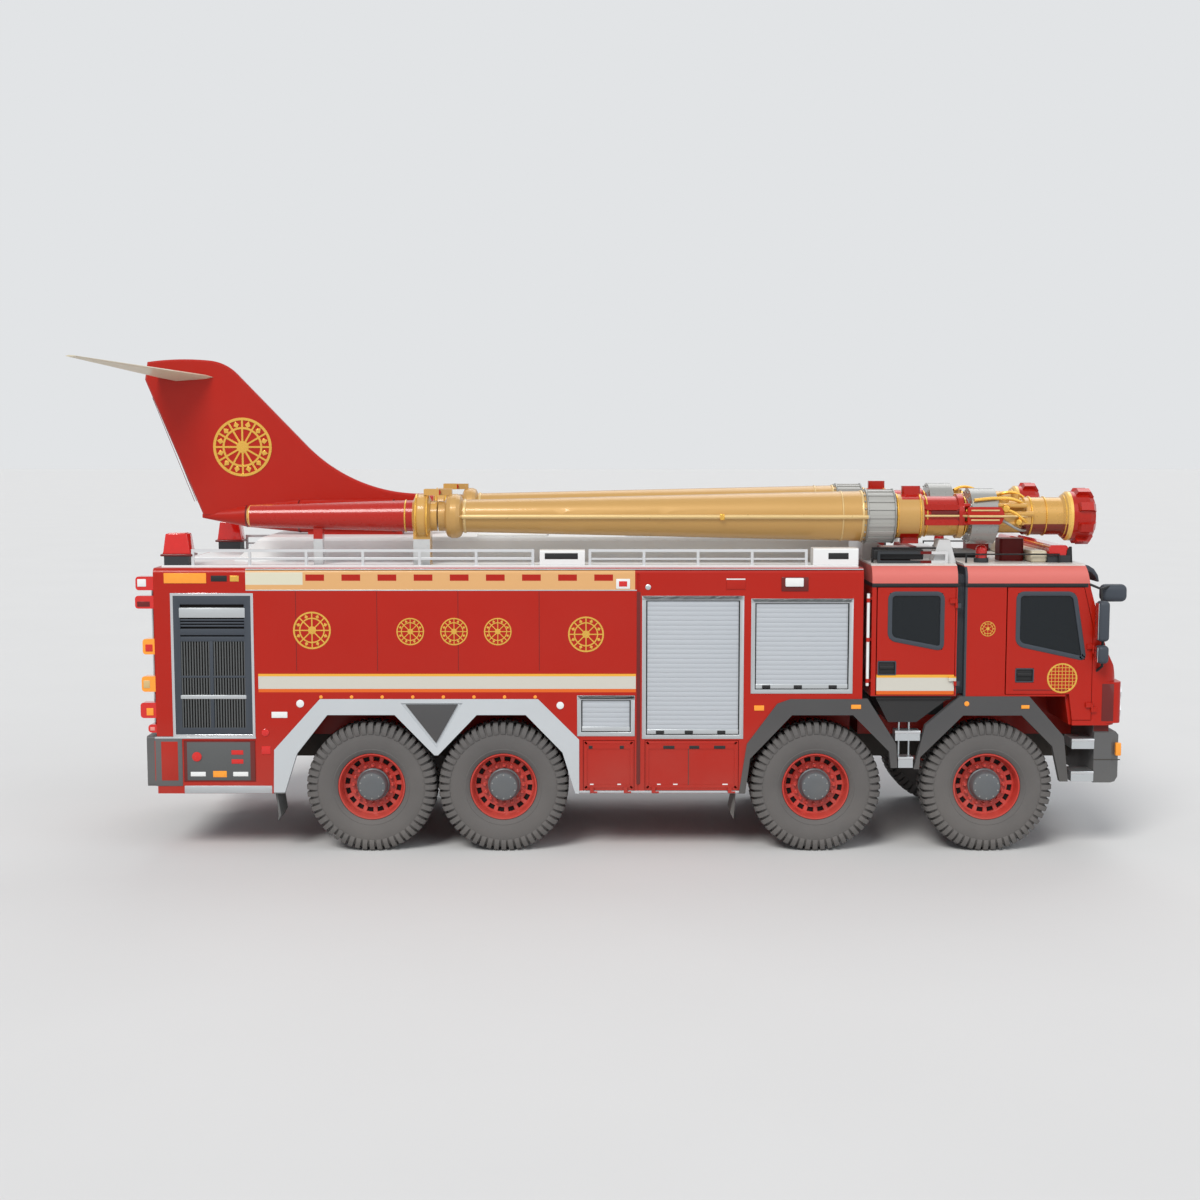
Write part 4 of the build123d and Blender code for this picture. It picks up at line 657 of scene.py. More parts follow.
dish = rim_dish(hub)
nut = turned("Y", hub + Vector((0, 0, 0.214)),
             ((-0.016, 0.025), (-0.03, 0.025), (-0.032, 0.018), (-0.062, 0.017), (-0.067, 0.012)), steps=10)
nuts = round_row(tinted(nut, rim_red), NUTS, "Y", hub)
cap = turned("Y", hub, ((-0.018, 0.182), (-0.046, 0.18), (-0.052, 0.168), (-0.146, 0.16), (-0.166, 0.146),
                        (-0.174, 0.12), (-0.1745, 0.06)))
tinted(cap, hub_grey)
bolt = turned("Y", hub + Vector((0, 0, 0.13)), ((-0.166, 0.009), (-0.1748, 0.009)), steps=6)
bolts = round_row(tinted(bolt, steel_grey), 10, "Y", hub)
first_rim = joined("rim_look_1_right", [dish, nuts, cap, bolts])
smoothed(first_rim, 32)

for number, axle_x in AXLE_X.items():
    for side in ("right", "left"):
        for kind, first in (("tyre", first_tyre), ("rim", first_rim)):
            move = Matrix.Translation((axle_x - hub.x, 0, 0))
            if side == "left":
                move = MIRROR @ move
            name = f"{kind}_look_{number}_{side}"
            piece = first if (number, side) == ("1", "right") else copied(first, name, move)
            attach(piece, f"wheel_{number}_{side}")
            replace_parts(piece, f"{kind}_{number}_{side}")

# ---- roller shutters
SLAT = 0.052              # from slat to slat
FRAME_IN = 0.043          # from the frame's outer edge to the curtain
# X0, X1, Z0, Z1, places of the latches
SHUTTERS = (
    (-0.25, 0.38, 1.29, 1.74, ()),
    (0.456, 1.564, 1.26, 2.83, (0.655, 0.97, 1.325)),
    (1.64, 2.75, 1.76, 2.8, (1.81, 2.155, 2.535)),
)
parts = []
for x0, x1, z0, z1, latches in SHUTTERS:
    left, right = x0 + FRAME_IN, x1 - FRAME_IN
    add(parts, silver, border(oblong(x0, x1, z0, z1), 0.045, -1.47, -1.506))
    # painted shadow: this thin black frame inside the silver one stands in for the shadow line between frame and
    # curtain
    add(parts, black, border(oblong(x0, x1, z0, z1, FRAME_IN), 0.014, -1.472, -1.496, bevel=0.002))
    sheet = box((left, -1.483, z0 + 0.04), (right, -1.48, z1 - 0.04), 0.001, 1)
    slat = box((left, -1.488, z0 + 0.05), (right, -1.482, z0 + 0.05 + SLAT - 0.0014), 0.0012)
    add(parts, curtain, sheet, straight_row(slat, int((z1 - z0 - 0.09) / SLAT), (0, 0, SLAT)))
    add(parts, silver, box((left, -1.496, z0 + 0.045), (right, -1.484, z0 + 0.105), 0.005, 3))
    for x in latches:
        add(parts, black, box((x - 0.045, -1.505, z0 + 0.055), (x + 0.045, -1.492, z0 + 0.092), 0.005))
    add(parts, silver, box((x0 - 0.001, -1.506, z1 - 0.05), (x1 + 0.001, -1.495, z1), 0.004))
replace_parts(shown("shutter_look", parts, both=True), "roller_shutters")

# ---- cooling grilles
GX0, GX1, GZ0, GZ1 = -4.66, -3.76, 1.28, 2.86
BARS_Y = -1.474           # backs of the rails and bars
# rails across the opening: Z0, Z1, front face, finish
RAILS = (
    (2.59, 2.7, -1.504, silver), (2.4, 2.47, -1.502, slate), (2.33, 2.385, -1.5, slate),
    (1.932, 1.956, -1.5, slate), (1.7, 1.745, -1.504, silver), (2.735, 2.77, -1.502, slate),
)
parts = []
add(parts, chrome, border(oblong(GX0, GX1, GZ0, GZ1), 0.03, -1.47, -1.507))
add(parts, slate, border(oblong(GX0, GX1, GZ0, GZ1, 0.028), 0.075, -1.47, -1.503))
# painted shade: a near black sheet behind the bars stands in for the dark inside the grille
add(parts, painted_opening_shade, box((GX0 + 0.05, BARS_Y, GZ0 + 0.05), (GX1 - 0.05, -1.466, GZ1 - 0.05), 0.002))
for z0, z1, y, look in RAILS:
    add(parts, look, box((GX0 + 0.09, y, z0), (GX1 - 0.09, BARS_Y, z1)))
louvre = box((GX0 + 0.09, -1.498, 2.492), (GX1 - 0.09, -1.48, 2.512))
add(parts, slate, straight_row(louvre, 3, (0, 0, 0.032)))
for z0, z1 in ((1.375, 1.705), (1.74, 2.335)):
    upright = box((GX0 + 0.103, -1.497, z0), (GX0 + 0.119, BARS_Y, z1), 0.004, 1)
    add(parts, panel_grey, straight_row(upright, 24, (0.0297, 0, 0)))
add(parts, slate, box((-4.245, -1.502, 1.36), (-4.205, BARS_Y, 2.335), 0.005))
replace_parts(shown("grille_look", parts, both=True), "side_grilles")


# ---- trims on the body's flanks
def emblem_ring(centre, radius, inner, outer, depth, steps=64):
    """A flat ring between two shares of a radius."""
    rows = ((0, radius * inner), (-depth, radius * (inner + 0.01)), (-depth, radius * outer), (0, radius * outer))
    return turned("Y", centre, rows, steps, hollow=True)


def lattice_emblem(x, z, radius, y, depth=0.004, spokes=8):
    """A round gold ornament: two rings, a star of bars, small kites and a boss."""
    centre = (x, y, z)
    rings = [emblem_ring(centre, radius, 0.9, 1.0, depth), emblem_ring(centre, radius, 0.6, 0.68, depth, 48)]
    boss = turned("Y", centre, ((0, radius * 0.22), (-depth, radius * 0.2), (-depth * 1.3, radius * 0.12)), steps=32)
    bar = box((x - radius * 0.035, y - depth * 0.9, z + radius * 0.18),
              (x + radius * 0.035, y, z + radius * 0.92), depth * 0.3, 1)
    kite = plate([(x + radius * across, z + radius * up) for across, up in
                  ((0, 0.66), (-0.1, 0.76), (0, 0.9), (0.1, 0.76))], y, y - depth, bevel=depth * 0.2)
    kite.data.transform(turned_about(centre, "Y", pi / spokes))
    rows = [round_row(part, spokes, "Y", centre) for part in (bar, kite)]
    return tinted(joined("lattice_emblem", [*rings, boss, *rows]), bright_gold)


# name, low corner, high corner, rounding, finish; all are mirrored on to the left flank
FLANK = (
    ("marker_top", (-4.723, -1.508, 2.965), (-4.262, -1.495, 3.078), 0.006, amber_lens),
    ("hatch_grip", (-4.213, -1.504, 2.985), (-4.039, -1.495, 3.05), 0.012, black),
    ("hatch_grip_end", (-4.007, -1.505, 2.985), (-3.909, -1.495, 3.05), 0.006, bright_gold),
    ("panel_frame", (-4.56, -1.497, 0.79), (-3.772, -1.486, 1.235), 0.008, deep_red),
    ("panel_plate", (-4.517, -1.4985, 0.8), (-3.822, -1.488, 1.225), 0.01, panel_grey),
    ("panel_tag_rear", (-4.48, -1.502, 0.845), (-4.315, -1.496, 0.895), 0.004, clear_lens),
    ("panel_tag_front", (-4.015, -1.502, 0.845), (-3.85, -1.496, 0.895), 0.004, clear_lens),
    ("panel_tag_middle", (-4.235, -1.502, 0.835), (-4.085, -1.496, 0.905), 0.004, amber_lens),
    ("panel_mark_low", (-4.03, -1.502, 0.985), (-3.9, -1.496, 1.035), 0.004, red_lens),
    ("panel_mark_high", (-4.03, -1.502, 1.085), (-3.9, -1.496, 1.135), 0.004, red_lens),
    ("panel_sill", (-4.55, -1.506, 0.656), (-3.59, -1.48, 0.742), 0.006, silver),
    ("post_lamp", (-3.7, -1.506, 1.09), (-3.6, -1.495, 1.18), 0.008, red_lens),
    ("side_lamp", (-3.583, -1.508, 1.492), (-3.409, -1.495, 1.56), 0.008, clear_lens),
    ("edge_box", (0.174, -1.506, 2.905), (0.326, -1.495, 3.015), 0.006, clear_lens),
    ("edge_box_core", (0.205, -1.509, 2.93), (0.295, -1.5, 2.99), 0.006, red_lens),
    ("raised_plate", (1.368, -1.508, 2.899), (1.574, -1.495, 3.018), 0.008, red_paint),
    ("raised_plate_line", (1.368, -1.511, 3.004), (1.574, -1.5, 3.018), 0.004, clear_lens),
    ("work_lamp_base", (1.965, -1.51, 2.88), (2.258, -1.495, 3.032), 0.01, deep_red),
    ("work_lamp", (2.005, -1.53, 2.93), (2.205, -1.5, 3.026), 0.012, clear_lens),
    ("bumper_wrap", (-4.862, -1.5075, 0.737), (-4.565, -1.49, 1.288), 0.014, bumper_grey),
    ("bumper_insert", (-4.795, -1.5105, 0.8), (-4.612, -1.5, 1.232), 0.02, red_paint),
    ("bumper_line", (-4.862, -1.51, 1.262), (-3.757, -1.495, 1.284), 0.004, silver),
    ("sill", (-0.27, -1.505, 0.657), (1.545, -1.48, 0.686), 0.004, silver),
    ("tag_lamp", (1.68, -1.508, 1.572), (1.79, -1.495, 1.63), 0.006, amber_lens),
    ("band_line_top", (-3.84, -1.503, 3.112), (2.85, -1.49, 3.124), 0.003, silver),
    ("band_line_low", (-3.84, -1.503, 2.884), (0.4, -1.49, 2.896), 0.003, silver),
    ("post_cover", (0.398, -1.504, 0.76), (0.44, -1.495, 2.87), 0.004, deep_red),
    ("deck_slot_rear", (-0.6, -1.424, 3.222), (-0.24, -1.415, 3.288), 0.006, black),
    ("deck_slot_front", (2.48, -1.424, 3.222), (2.7, -1.415, 3.29), 0.006, black),
    ("deck_edge", (-4.76, -1.434, 3.128), (2.8, -1.405, 3.156), 0.006, white_paint),
)
# X, Z, radius, finish
ROUND_LAMPS = (
    (-3.268, 1.65, 0.042, clear_lens), (-0.434, 1.63, 0.04, clear_lens), (0.521, 2.925, 0.03, silver),
    (-4.408, 1.064, 0.052, red_lens), (-3.655, 1.33, 0.04, red_lens),
)
# X, Z, radius of the rosettes along the tank's side
ROSETTES = (
    (-2.06, 2.44, 0.15), (-1.585, 2.44, 0.15), (-1.11, 2.44, 0.15), (-3.127, 2.453, 0.205),
    (-0.152, 2.41, 0.195),
)
ROSETTE_Y = 0.0005 - FLANK_Y
parts = blocks(FLANK)
marker = turned("Y", (-3.04, -FLANK_Y, 1.722), ((0.004, 0.02), (-0.006, 0.019), (-0.011, 0.013)), steps=20)
add(parts, amber_lens, straight_row(marker, 8, (0.3334, 0, 0)))
for x, z, radius, look in ROUND_LAMPS:
    rows = ((0.004, radius), (-0.007, radius), (-0.012, radius * 0.75))
    add(parts, look, turned("Y", (x, -FLANK_Y, z), rows, steps=32))
# the dark infill between the rear arches, and the panel lines of the tank's cladding
infill = plate(((-2.12, 1.64), (-1.55, 1.64), (-1.79, 1.215)), -1.49, -1.5108, bevel=0.002)
add(parts, arch_grey, infill)
for x in (-3.3, -2.42, -1.54, -0.66):
    add(parts, deep_red, box((x - 0.003, -1.5015, 2.01), (x + 0.003, -1.495, 2.88), 0.001, 1))
parts += [lattice_emblem(x, z, radius, ROSETTE_Y) for x, z, radius in ROSETTES]
shown("flank_trims", parts, both=True)

# ---- lower locker doors
# locker, X0, X1, tags along the top, tags along the foot: each X0, X1
LOCKERS = (
    ("a", -0.18, 0.37, ((-0.125, -0.08), (0.215, 0.262)), ((-0.11, -0.07), (0.19, 0.23))),
    ("b", 0.495, 1.51, ((0.69, 0.815), (0.975, 1.086), (1.245, 1.37)),
     ((0.625, 0.665), (0.8, 0.85), (1.34, 1.4))),
)
for key, x0, x1, top_tags, foot_tags in LOCKERS:
    parts = []
    add(parts, red_paint, border(oblong(x0 + 0.014, x1 - 0.014, 0.712, 1.228), 0.024, -1.488, -1.503, 0.012))
    add(parts, black, *(box((a, -1.5035, 1.15), (b, -1.488, 1.186), 0.005) for a, b in top_tags))
    add(parts, clear_lens, *(box((a, -1.4985, 0.735), (b, -1.488, 0.762), 0.003) for a, b in foot_tags))
    if key == "b":
        add(parts, chassis_black, box((0.964, -1.4965, 0.74), (0.971, -1.49, 1.2), 0.001, 1))
    shown_pair(f"locker_trims_{key}", parts, f"locker_door_{key}")

# ---- doors: window rubbers, handles, emblem
# door, window outline, X0, X1, Z0, Z1 of the handle's recess
DOOR_LOOKS = (
    ("front", ((4.53, 2.3), (4.53, 2.86), (5.145, 2.86), (5.275, 2.13)), 4.525, 4.715, 1.89, 2.03),
    ("crew", ((3.14, 2.36), (3.14, 2.86), (3.72, 2.86), (3.72, 2.24)), 3.025, 3.215, 1.97, 2.11),
)


def grown(outline, amount):
    """An outline's corners pushed away from its middle."""
    middle = [sum(values) / len(outline) for values in zip(*outline)]
    return [[value + (amount if value > half else -amount) for value, half in zip(point, middle)]
            for point in outline]


def woven_emblem(x, z, radius, y, depth):
    """A round gold ornament: a ring filled with crossed bars."""
    parts = [emblem_ring((x, y, z), radius, 0.88, 1.0, depth)]
    for step in range(-3, 4):
        offset = step * radius * 0.23
        reach = (0.81 * radius ** 2 - offset ** 2) ** 0.5
        for up, half_x, half_z, share in ((False, 0.004, reach, 0.8), (True, reach, 0.004, 0.9)):
            mid_x, mid_z = (x, z + offset) if up else (x + offset, z)
            parts.append(box((mid_x - half_x, y - depth * share, mid_z - half_z),
                             (mid_x + half_x, y, mid_z + half_z), 0.0015, 1))
    return tinted(joined("woven_emblem", parts), bright_gold)


for key, opening, x0, x1, z0, z1 in DOOR_LOOKS:
    parts = []
    add(parts, slate, border(grown(opening, 0.018), 0.048, -1.482, -1.507, 0.085, 0.006),
        border(oblong(x0, x1, z0, z1, -0.008), 0.014, -1.49, -1.504, 0.02))
    add(parts, black, box((x0, -1.489, z0), (x1, -1.484, z1), 0.002),
        box((x0 + 0.015, -1.508, z0 + 0.06), (x1 - 0.015, -1.49, z0 + 0.098), 0.009, 3))
    if key == "front":
        parts.append(woven_emblem(5.03, 1.93, 0.165, -1.4985, depth=0.005))
        add(parts, deep_red, box((4.5, -1.5025, 1.795), (5.1, -1.497, 1.803), 0.001, 1))
    shown_pair(f"door_trims_{key}", parts, f"{key}_door")

# ---- cab trims
CAB = (
    ("crew_gutter", (2.955, -1.514, 2.932), (3.9, -1.495, 2.962), 0.004, black),
    ("cab_gutter", (3.965, -1.514, 2.932), (5.268, -1.495, 2.962), 0.004, black),
    ("arch_lamp_rear", (2.736, -1.519, 1.592), (2.845, -1.5, 1.64), 0.006, amber_lens),
    ("arch_lamp_front", (4.59, -1.519, 1.595), (4.68, -1.5, 1.635), 0.006, amber_lens),
    ("lamp_corner_frame", (5.468, -1.503, 1.455), (5.6, -1.49, 1.868), 0.01, deep_red),
    ("bumper_lamp", (5.64, -1.495, 1.07), (5.702, -1.44, 1.215), 0.012, amber_lens),
    ("bumper_line", (5.4, -1.4925, 1.024), (5.69, -1.485, 1.036), 0.002, chassis_black),
    ("crew_step_lip_high", (3.22, -1.504, 1.318), (3.5, -1.494, 1.352), 0.005, chrome),
    ("crew_step_lip_low", (3.258, -1.504, 1.03), (3.426, -1.494, 1.062), 0.005, chrome),
    ("front_step_lip_high", (5.152, -1.504, 1.23), (5.402, -1.494, 1.262), 0.005, chrome),
    ("front_step_lip_low", (5.152, -1.504, 0.87), (5.402, -1.494, 0.902), 0.005, chrome),
    ("wedge_edge", (3.01, -1.482, 1.69), (3.83, -1.47, 1.72), 0.006, black),
)
GRAB_X, GRAB_Y = 2.912, -1.485
LAMP_X, LAMP_Y = 5.6885, -1.335
parts = blocks(CAB)
rows = ((0.006, 0.028), (-0.006, 0.027), (-0.01, 0.018))
add(parts, amber_lens, turned("Y", (3.996, -1.508, 1.65), rows, steps=24))
add(parts, clear_lens, pipe(((GRAB_X, GRAB_Y, 1.845), (GRAB_X, GRAB_Y, 2.855)), 0.017, rounds=6))
for z in (1.9, 2.35, 2.78):
    add(parts, red_paint, turned("Z", (GRAB_X, GRAB_Y, z), ((-0.022, 0.021), (0.022, 0.021)), steps=20))
for z, radius in ((1.76, 0.085), (1.56, 0.08)):
    rows = ((-0.01, radius), (0.006, radius), (0.014, radius * 0.8), (0.018, radius * 0.4))
    add(parts, clear_lens, turned("X", (LAMP_X, LAMP_Y, z), rows, steps=40))
    rows = ((-0.004, radius + 0.022), (0.012, radius + 0.018), (0.012, radius + 0.001), (-0.004, radius + 0.001))
    add(parts, chrome, turned("X", (LAMP_X, LAMP_Y, z), rows, steps=40, hollow=True))
parts.append(lattice_emblem(4.21, 2.47, 0.082, ROSETTE_Y, spokes=6))
shown("cab_trims", parts, both=True)

# front face: a louvred grille under the screen, and wipers
FRONT = (
    # painted shade: the near black sheet behind the louvres stands in for the dark inside the grille
    ("grille_back", (5.634, -1.08, 1.49), (5.642, 1.08, 1.99), 0.002, painted_opening_shade),
    ("grille_top", (5.63, -1.1, 1.985), (5.652, 1.1, 2.02), 0.006, silver),
    ("grille_foot", (5.63, -1.1, 1.47), (5.652, 1.1, 1.5), 0.006, silver),
)
parts = []
add(parts, slate, straight_row(box((5.632, -1.06, 1.52), (5.648, 1.06, 1.548)), 8, (0, 0, 0.058)))
parts += blocks(FRONT)
for y in (-0.62, 0.0, 0.62):
    add(parts, black, pipe(((5.553, y - 0.45, 2.205), (5.52, y, 2.29), (5.405, y + 0.22, 2.69)), 0.009))
shown("front_trims", parts)

# ---- mirrors and visor
ARM_Y = -1.57
ARM_HEAD = (5.41, ARM_Y, 2.91)
# low corner, high corner, rounding
MIRRORS = (
    ((5.352, -1.718, 2.352), (5.473, -1.562, 2.788), 0.042),
    ((5.352, -1.718, 2.112), (5.473, -1.562, 2.308), 0.042),
    ((5.432, -1.513, 2.762), (5.718, -1.367, 2.953), 0.06),
)
VISOR = (
    (5.279, 3.15), (5.34, 3.146), (5.4, 3.108), (5.445, 3.04), (5.46, 2.97), (5.44, 2.966),
    (5.42, 3.02), (5.375, 3.072), (5.33, 3.084), (5.296, 3.086),
)
arm = ((5.245, -1.44, 2.98), ARM_HEAD, (5.44, ARM_Y, 2.45), (5.44, ARM_Y, 2.07), (5.405, -1.49, 2.01))
parts = []
add(parts, black, pipe(arm, 0.015, rounds=6), pipe((ARM_HEAD, (5.57, -1.44, 2.94)), 0.015, rounds=6))
add(parts, slate, *(box(low, high, rounding, 5) for low, high, rounding in MIRRORS))
for z0, z1 in ((2.375, 2.765), (2.13, 2.29)):
    add(parts, chrome, box((5.348, -1.702, z0), (5.3535, -1.578, z1), 0.002))
mirror_pair = both_sides(joined("mirror_pair", parts))
visor = tinted(plate(VISOR, -1.31, 1.31), slate)
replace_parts(shown("mirror_look", [mirror_pair, visor]), "mirrors")

# ---- seats
# X, Y
SEATS = ((4.45, 0.65), (4.45, -0.65), (3.19, -0.8), (3.19, 0.0), (3.19, 0.8))


def cushion(low, high, crown_axis):
    """A stuffed cushion: a soft-edged block whose main face is inset for a seam and crowned."""
    obj = box(low, high, 0.035, 3)
    way = WAYS[crown_axis]
    best = max(obj.data.polygons, key=lambda face: face.area * (face.normal.dot(way) > 0.9))
    pick(obj, [best.index])
    with editing("FACE", whole=False):
        bpy.ops.mesh.inset(thickness=0.018, depth=-0.01)
        bpy.ops.mesh.inset(thickness=0.012, depth=0.016)
        bpy.ops.mesh.inset(thickness=0.06, depth=0.012)
    return tinted(modified(obj, "SUBSURF", levels=2), seat_cloth)


bases = []
pads = []
for x, y in SEATS:
    add(bases, black,
        box((x - 0.04, y - 0.228, 1.792), (x + 0.308, y + 0.228, 2.05), 0.02, 2),
        box((x - 0.15, y - 0.238, 2.04), (x - 0.11, y + 0.238, 2.835), 0.018, 3))
    pads.append(cushion((x - 0.055, y - 0.248, 2.052), (x + 0.358, y + 0.248, 2.172), "Z"))
    pads.append(cushion((x - 0.12, y - 0.236, 2.165), (x - 0.04, y + 0.236, 2.828), "X"))
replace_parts(shown("seat_bases", bases), "seats")
shown("seat_cushions", pads, smooth=60)

# ---- booms and nozzles
# place along the boom, radius, width, finish of the bands round the barrel
BANDS = (
    (-1.48, 0.182, 0.03, pale_gold), (2.64, 0.271, 0.02, pale_gold), (2.86, 0.278, 0.03, pale_gold),
    (2.905, 0.296, 0.018, steel_grey), (3.205, 0.296, 0.018, steel_grey), (3.24, 0.247, 0.022, bright_gold),
    (3.49, 0.247, 0.022, bright_gold), (3.56, 0.223, 0.02, bright_gold), (3.985, 0.214, 0.02, bright_gold),
    (4.335, 0.23, 0.018, steel_grey), (4.7, 0.212, 0.022, bright_gold), (4.86, 0.211, 0.014, bright_gold),
    (5.075, 0.23, 0.022, bright_gold),
)
# place along the boom, radius of the ring of bolt heads, count
BOLTS = ((2.884, 0.284, 20), (3.224, 0.262, 16), (4.02, 0.28, 16), (5.385, 0.205, 8))
# the feed pipe's way over the nozzle's drum, past a red cheek plate
NOZZLE_FEED = (
    (3.53, -1.382, 3.69), (3.94, -1.382, 3.69), (4.0, -1.478, 3.69), (4.34, -1.478, 3.69),
    (4.44, -1.43, 3.69), (4.64, -1.385, 3.685),
)
CHEEK = ((3.975, 3.6), (3.975, 3.79), (4.34, 3.79), (4.38, 3.7), (4.34, 3.6))
# points, radius, finish
VALVE_PIPES = (
    (((4.05, -1.42, 3.86), (4.3, -1.4, 3.88), (4.52, -1.36, 3.86), (4.66, -1.3, 3.78)), 0.02, bright_gold),
    (((4.34, -1.395, 3.76), (4.46, -1.41, 3.74), (4.58, -1.4, 3.66), (4.66, -1.36, 3.6)), 0.018, bright_gold),
    (((4.34, -1.385, 3.66), (4.44, -1.4, 3.6), (4.56, -1.36, 3.54), (4.64, -1.3, 3.53)), 0.016, steel_grey),
    (((4.36, -1.1, 3.9), (4.46, -1.14, 3.935), (4.58, -1.14, 3.925), (4.66, -1.12, 3.88)), 0.018, bright_gold),
)


def out_y(reach):
    """The Y of a place at a reach from the right boom's axis, outwards."""
    return -BOOM_Y - reach


parts = []
for place, radius, width, look in BANDS:
    add(parts, look, hoop(BOOM_AXIS, place, radius, width / 2, 0.006, width / 4))
feed = ((-1.5, out_y(0.1895), BOOM_Z), (2.905, out_y(0.2885), BOOM_Z))
add(parts, pale_gold, pipe(feed, 0.025, rounds=6))
for place, radius, count in BOLTS:
    head = turned("X", BOOM_AXIS + Vector((0, 0, radius)), ((place - 0.012, 0.01), (place, 0.01)), steps=6)
    add(parts, steel_grey, round_row(head, count, "X", BOOM_AXIS))
add(parts, red_paint, plate(CHEEK, out_y(0.29), out_y(0.316), corner=0.02, bevel=0.004))
add(parts, pale_gold, pipe(NOZZLE_FEED, 0.013, rounds=5))
for z in (3.64, 3.745):
    add(parts, pale_gold, box((4.01, out_y(0.324), z), (4.32, out_y(0.312), z + 0.016), 0.004))
# the clip of the barrel's pipe
add(parts, bright_gold, box((1.3, out_y(0.29), BOOM_Z - 0.034), (1.35, out_y(0.222), BOOM_Z + 0.034), 0.008))
# the nozzle's recessed side slots and its valve gear
for z0, z1 in ((3.7, 3.745), (3.62, 3.655)):
    slot = plate(oblong(3.6, 3.93, z0, z1), out_y(0.222), out_y(0.19), corner=0.014, bevel=0.002)
    add(parts, deep_red, slot)
for points, radius, look in VALVE_PIPES:
    add(parts, look, pipe(points, radius, smooth=True, rounds=3))
for x, z, radius in ((4.4, 3.77, 0.05), (4.54, 3.625, 0.042)):
    rows = ((0.06, radius), (-0.01, radius), (-0.03, radius * 0.7), (-0.034, 0.016))
    add(parts, bright_gold, turned("Y", (x, -1.4, z), rows, steps=24))
shown_pair("boom_trims", parts, "boom_arm", smooth=40)

# gold rims on the fixed sleeves: place, radius
parts = []
for place, radius in ((-3.852, 0.102), (-2.01, 0.2445), (-1.89, 0.2445), (-2.13, 0.176)):
    add(parts, bright_gold, hoop(BOOM_AXIS, place, radius, 0.008, 0.005))
shown("sleeve_trims", parts, both=True, smooth=40)

# ---- fin and its cone
SEAM_Y = -FIN_Y - 0.0005
parts = [lattice_emblem(-4.15, 4.43, 0.34, -FIN_Y + 0.001, depth=0.008, spokes=12)]
add(parts, deep_red, pipe(((-5.18, SEAM_Y, 5.0), (-4.72, SEAM_Y, 3.8)), 0.003, rounds=1))
shown("fin_trims", parts, both=True)
parts = []
for place, radius in ((-4.115, 0.131), (-3.5, 0.191), (-2.4, 0.201)):
    add(parts, deep_red, hoop((0, 0, BOOM_Z - 0.05), place, radius, 0.01, 0.004, steps=72))
shown("cone_bands", parts)

# ---- roofs
CAB_ROOF_Z = 3.168
ROOF = (
    ("tan_fairing", (4.74, -1.18, CAB_ROOF_Z), (4.925, 1.18, 3.3), 0.03, cream_paint),
    ("crew_box", (3.12, -1.02, CAB_ROOF_Z), (3.45, -0.7, 3.33), 0.018, deep_red),
    ("crew_box_left", (3.12, 0.7, CAB_ROOF_Z), (3.45, 1.02, 3.33), 0.018, deep_red),
    ("crew_rack", (2.99, -1.275, 3.205), (3.54, -1.115, 3.318), 0.012, black),
    ("crew_rack_left", (2.99, 1.115, 3.205), (3.54, 1.275, 3.318), 0.012, black),
    ("hatch", (4.02, -0.42, CAB_ROOF_Z), (4.42, 0.42, 3.225), 0.02, black),
    ("deck_hatch_front", (0.3, -0.52, 3.415), (1.1, 0.52, 3.455), 0.02, white_paint),
    ("deck_hatch_rear", (-1.4, -0.52, 3.415), (-0.6, 0.52, 3.455), 0.02, white_paint),
    ("deck_hatch_middle", (1.5, -0.4, 3.415), (2.1, 0.4, 3.45), 0.02, panel_grey),
)
HORN = ((5.12, CAB_ROOF_Z), (5.135, 3.3), (5.16, 3.345), (5.185, 3.345), (5.195, CAB_ROOF_Z))


def bow(x0, x1, y0, y1, foot, top, radius):
    """A bent rail or grip that stands on two feet."""
    return pipe(((x0, y0, foot), (x0, y0, top), (x1, y1, top), (x1, y1, foot)), radius)


parts = blocks(ROOF, 3)
for y in (-1.22, 1.22):
    horn_y = y * 0.97
    add(parts, black,
        bow(4.02, 5.04, y, y, CAB_ROOF_Z, 3.262, 0.012),
        bow(2.99, 3.86, y, y, CAB_ROOF_Z, 3.33, 0.013),
        plate(HORN, horn_y - 0.015, horn_y + 0.015, corner=0.006))
for x in (0.42, 0.98):
    for y in (-0.35, 0.35):
        add(parts, black, bow(x, x, y - 0.06, y + 0.06, 3.452, 3.48, 0.007))
add(parts, rail_white, pipe(((-4.44, -1.4, 3.235), (-0.72, -1.4, 3.235)), 0.008))
shown("roof_trims", parts)

# a pale top over each rear beacon
parts = [box((-4.69, y - 0.09, 3.494), (-4.51, y + 0.09, 3.506), 0.006, 3) for y in (-1.3, 1.3)]
tinted(shown("beacon_caps", parts), pink_lens)

# ---- rear beacons' shades and lamp pods' cores
# Z0, Z1, nearest and farthest from the body's rear face, finish
POD_CORES = (
    (2.93, 3.012, 0.075, 0.17, clear_lens), (2.712, 2.768, 0.04, 0.178, deep_red),
    (2.222, 2.3, 0.022, 0.1, red_lens), (1.82, 1.905, 0.06, 0.13, pale_gold),
    (1.52, 1.6, 0.03, 0.105, amber_lens), (1.352, 1.392, 0.02, 0.07, pink_lens),
)
SHADE = ((-4.76, 3.272), (-4.44, 3.272), (-4.452, 3.3), (-4.482, 3.5), (-4.718, 3.5), (-4.748, 3.3))
parts = []
for low, high, near, far, look in POD_CORES:
    add(parts, look, box((REAR_X - far, -FLANK_Y - 0.005, low), (REAR_X - near, -FLANK_Y + 0.004, high), 0.004))
add(parts, red_lens, plate(SHADE, -1.415, -1.185, bevel=0.016))
add(parts, deep_red, box((-4.775, -1.428, 3.252), (-4.425, -1.172, 3.278), 0.01, 3))
shown("rear_lamp_trims", parts, both=True)

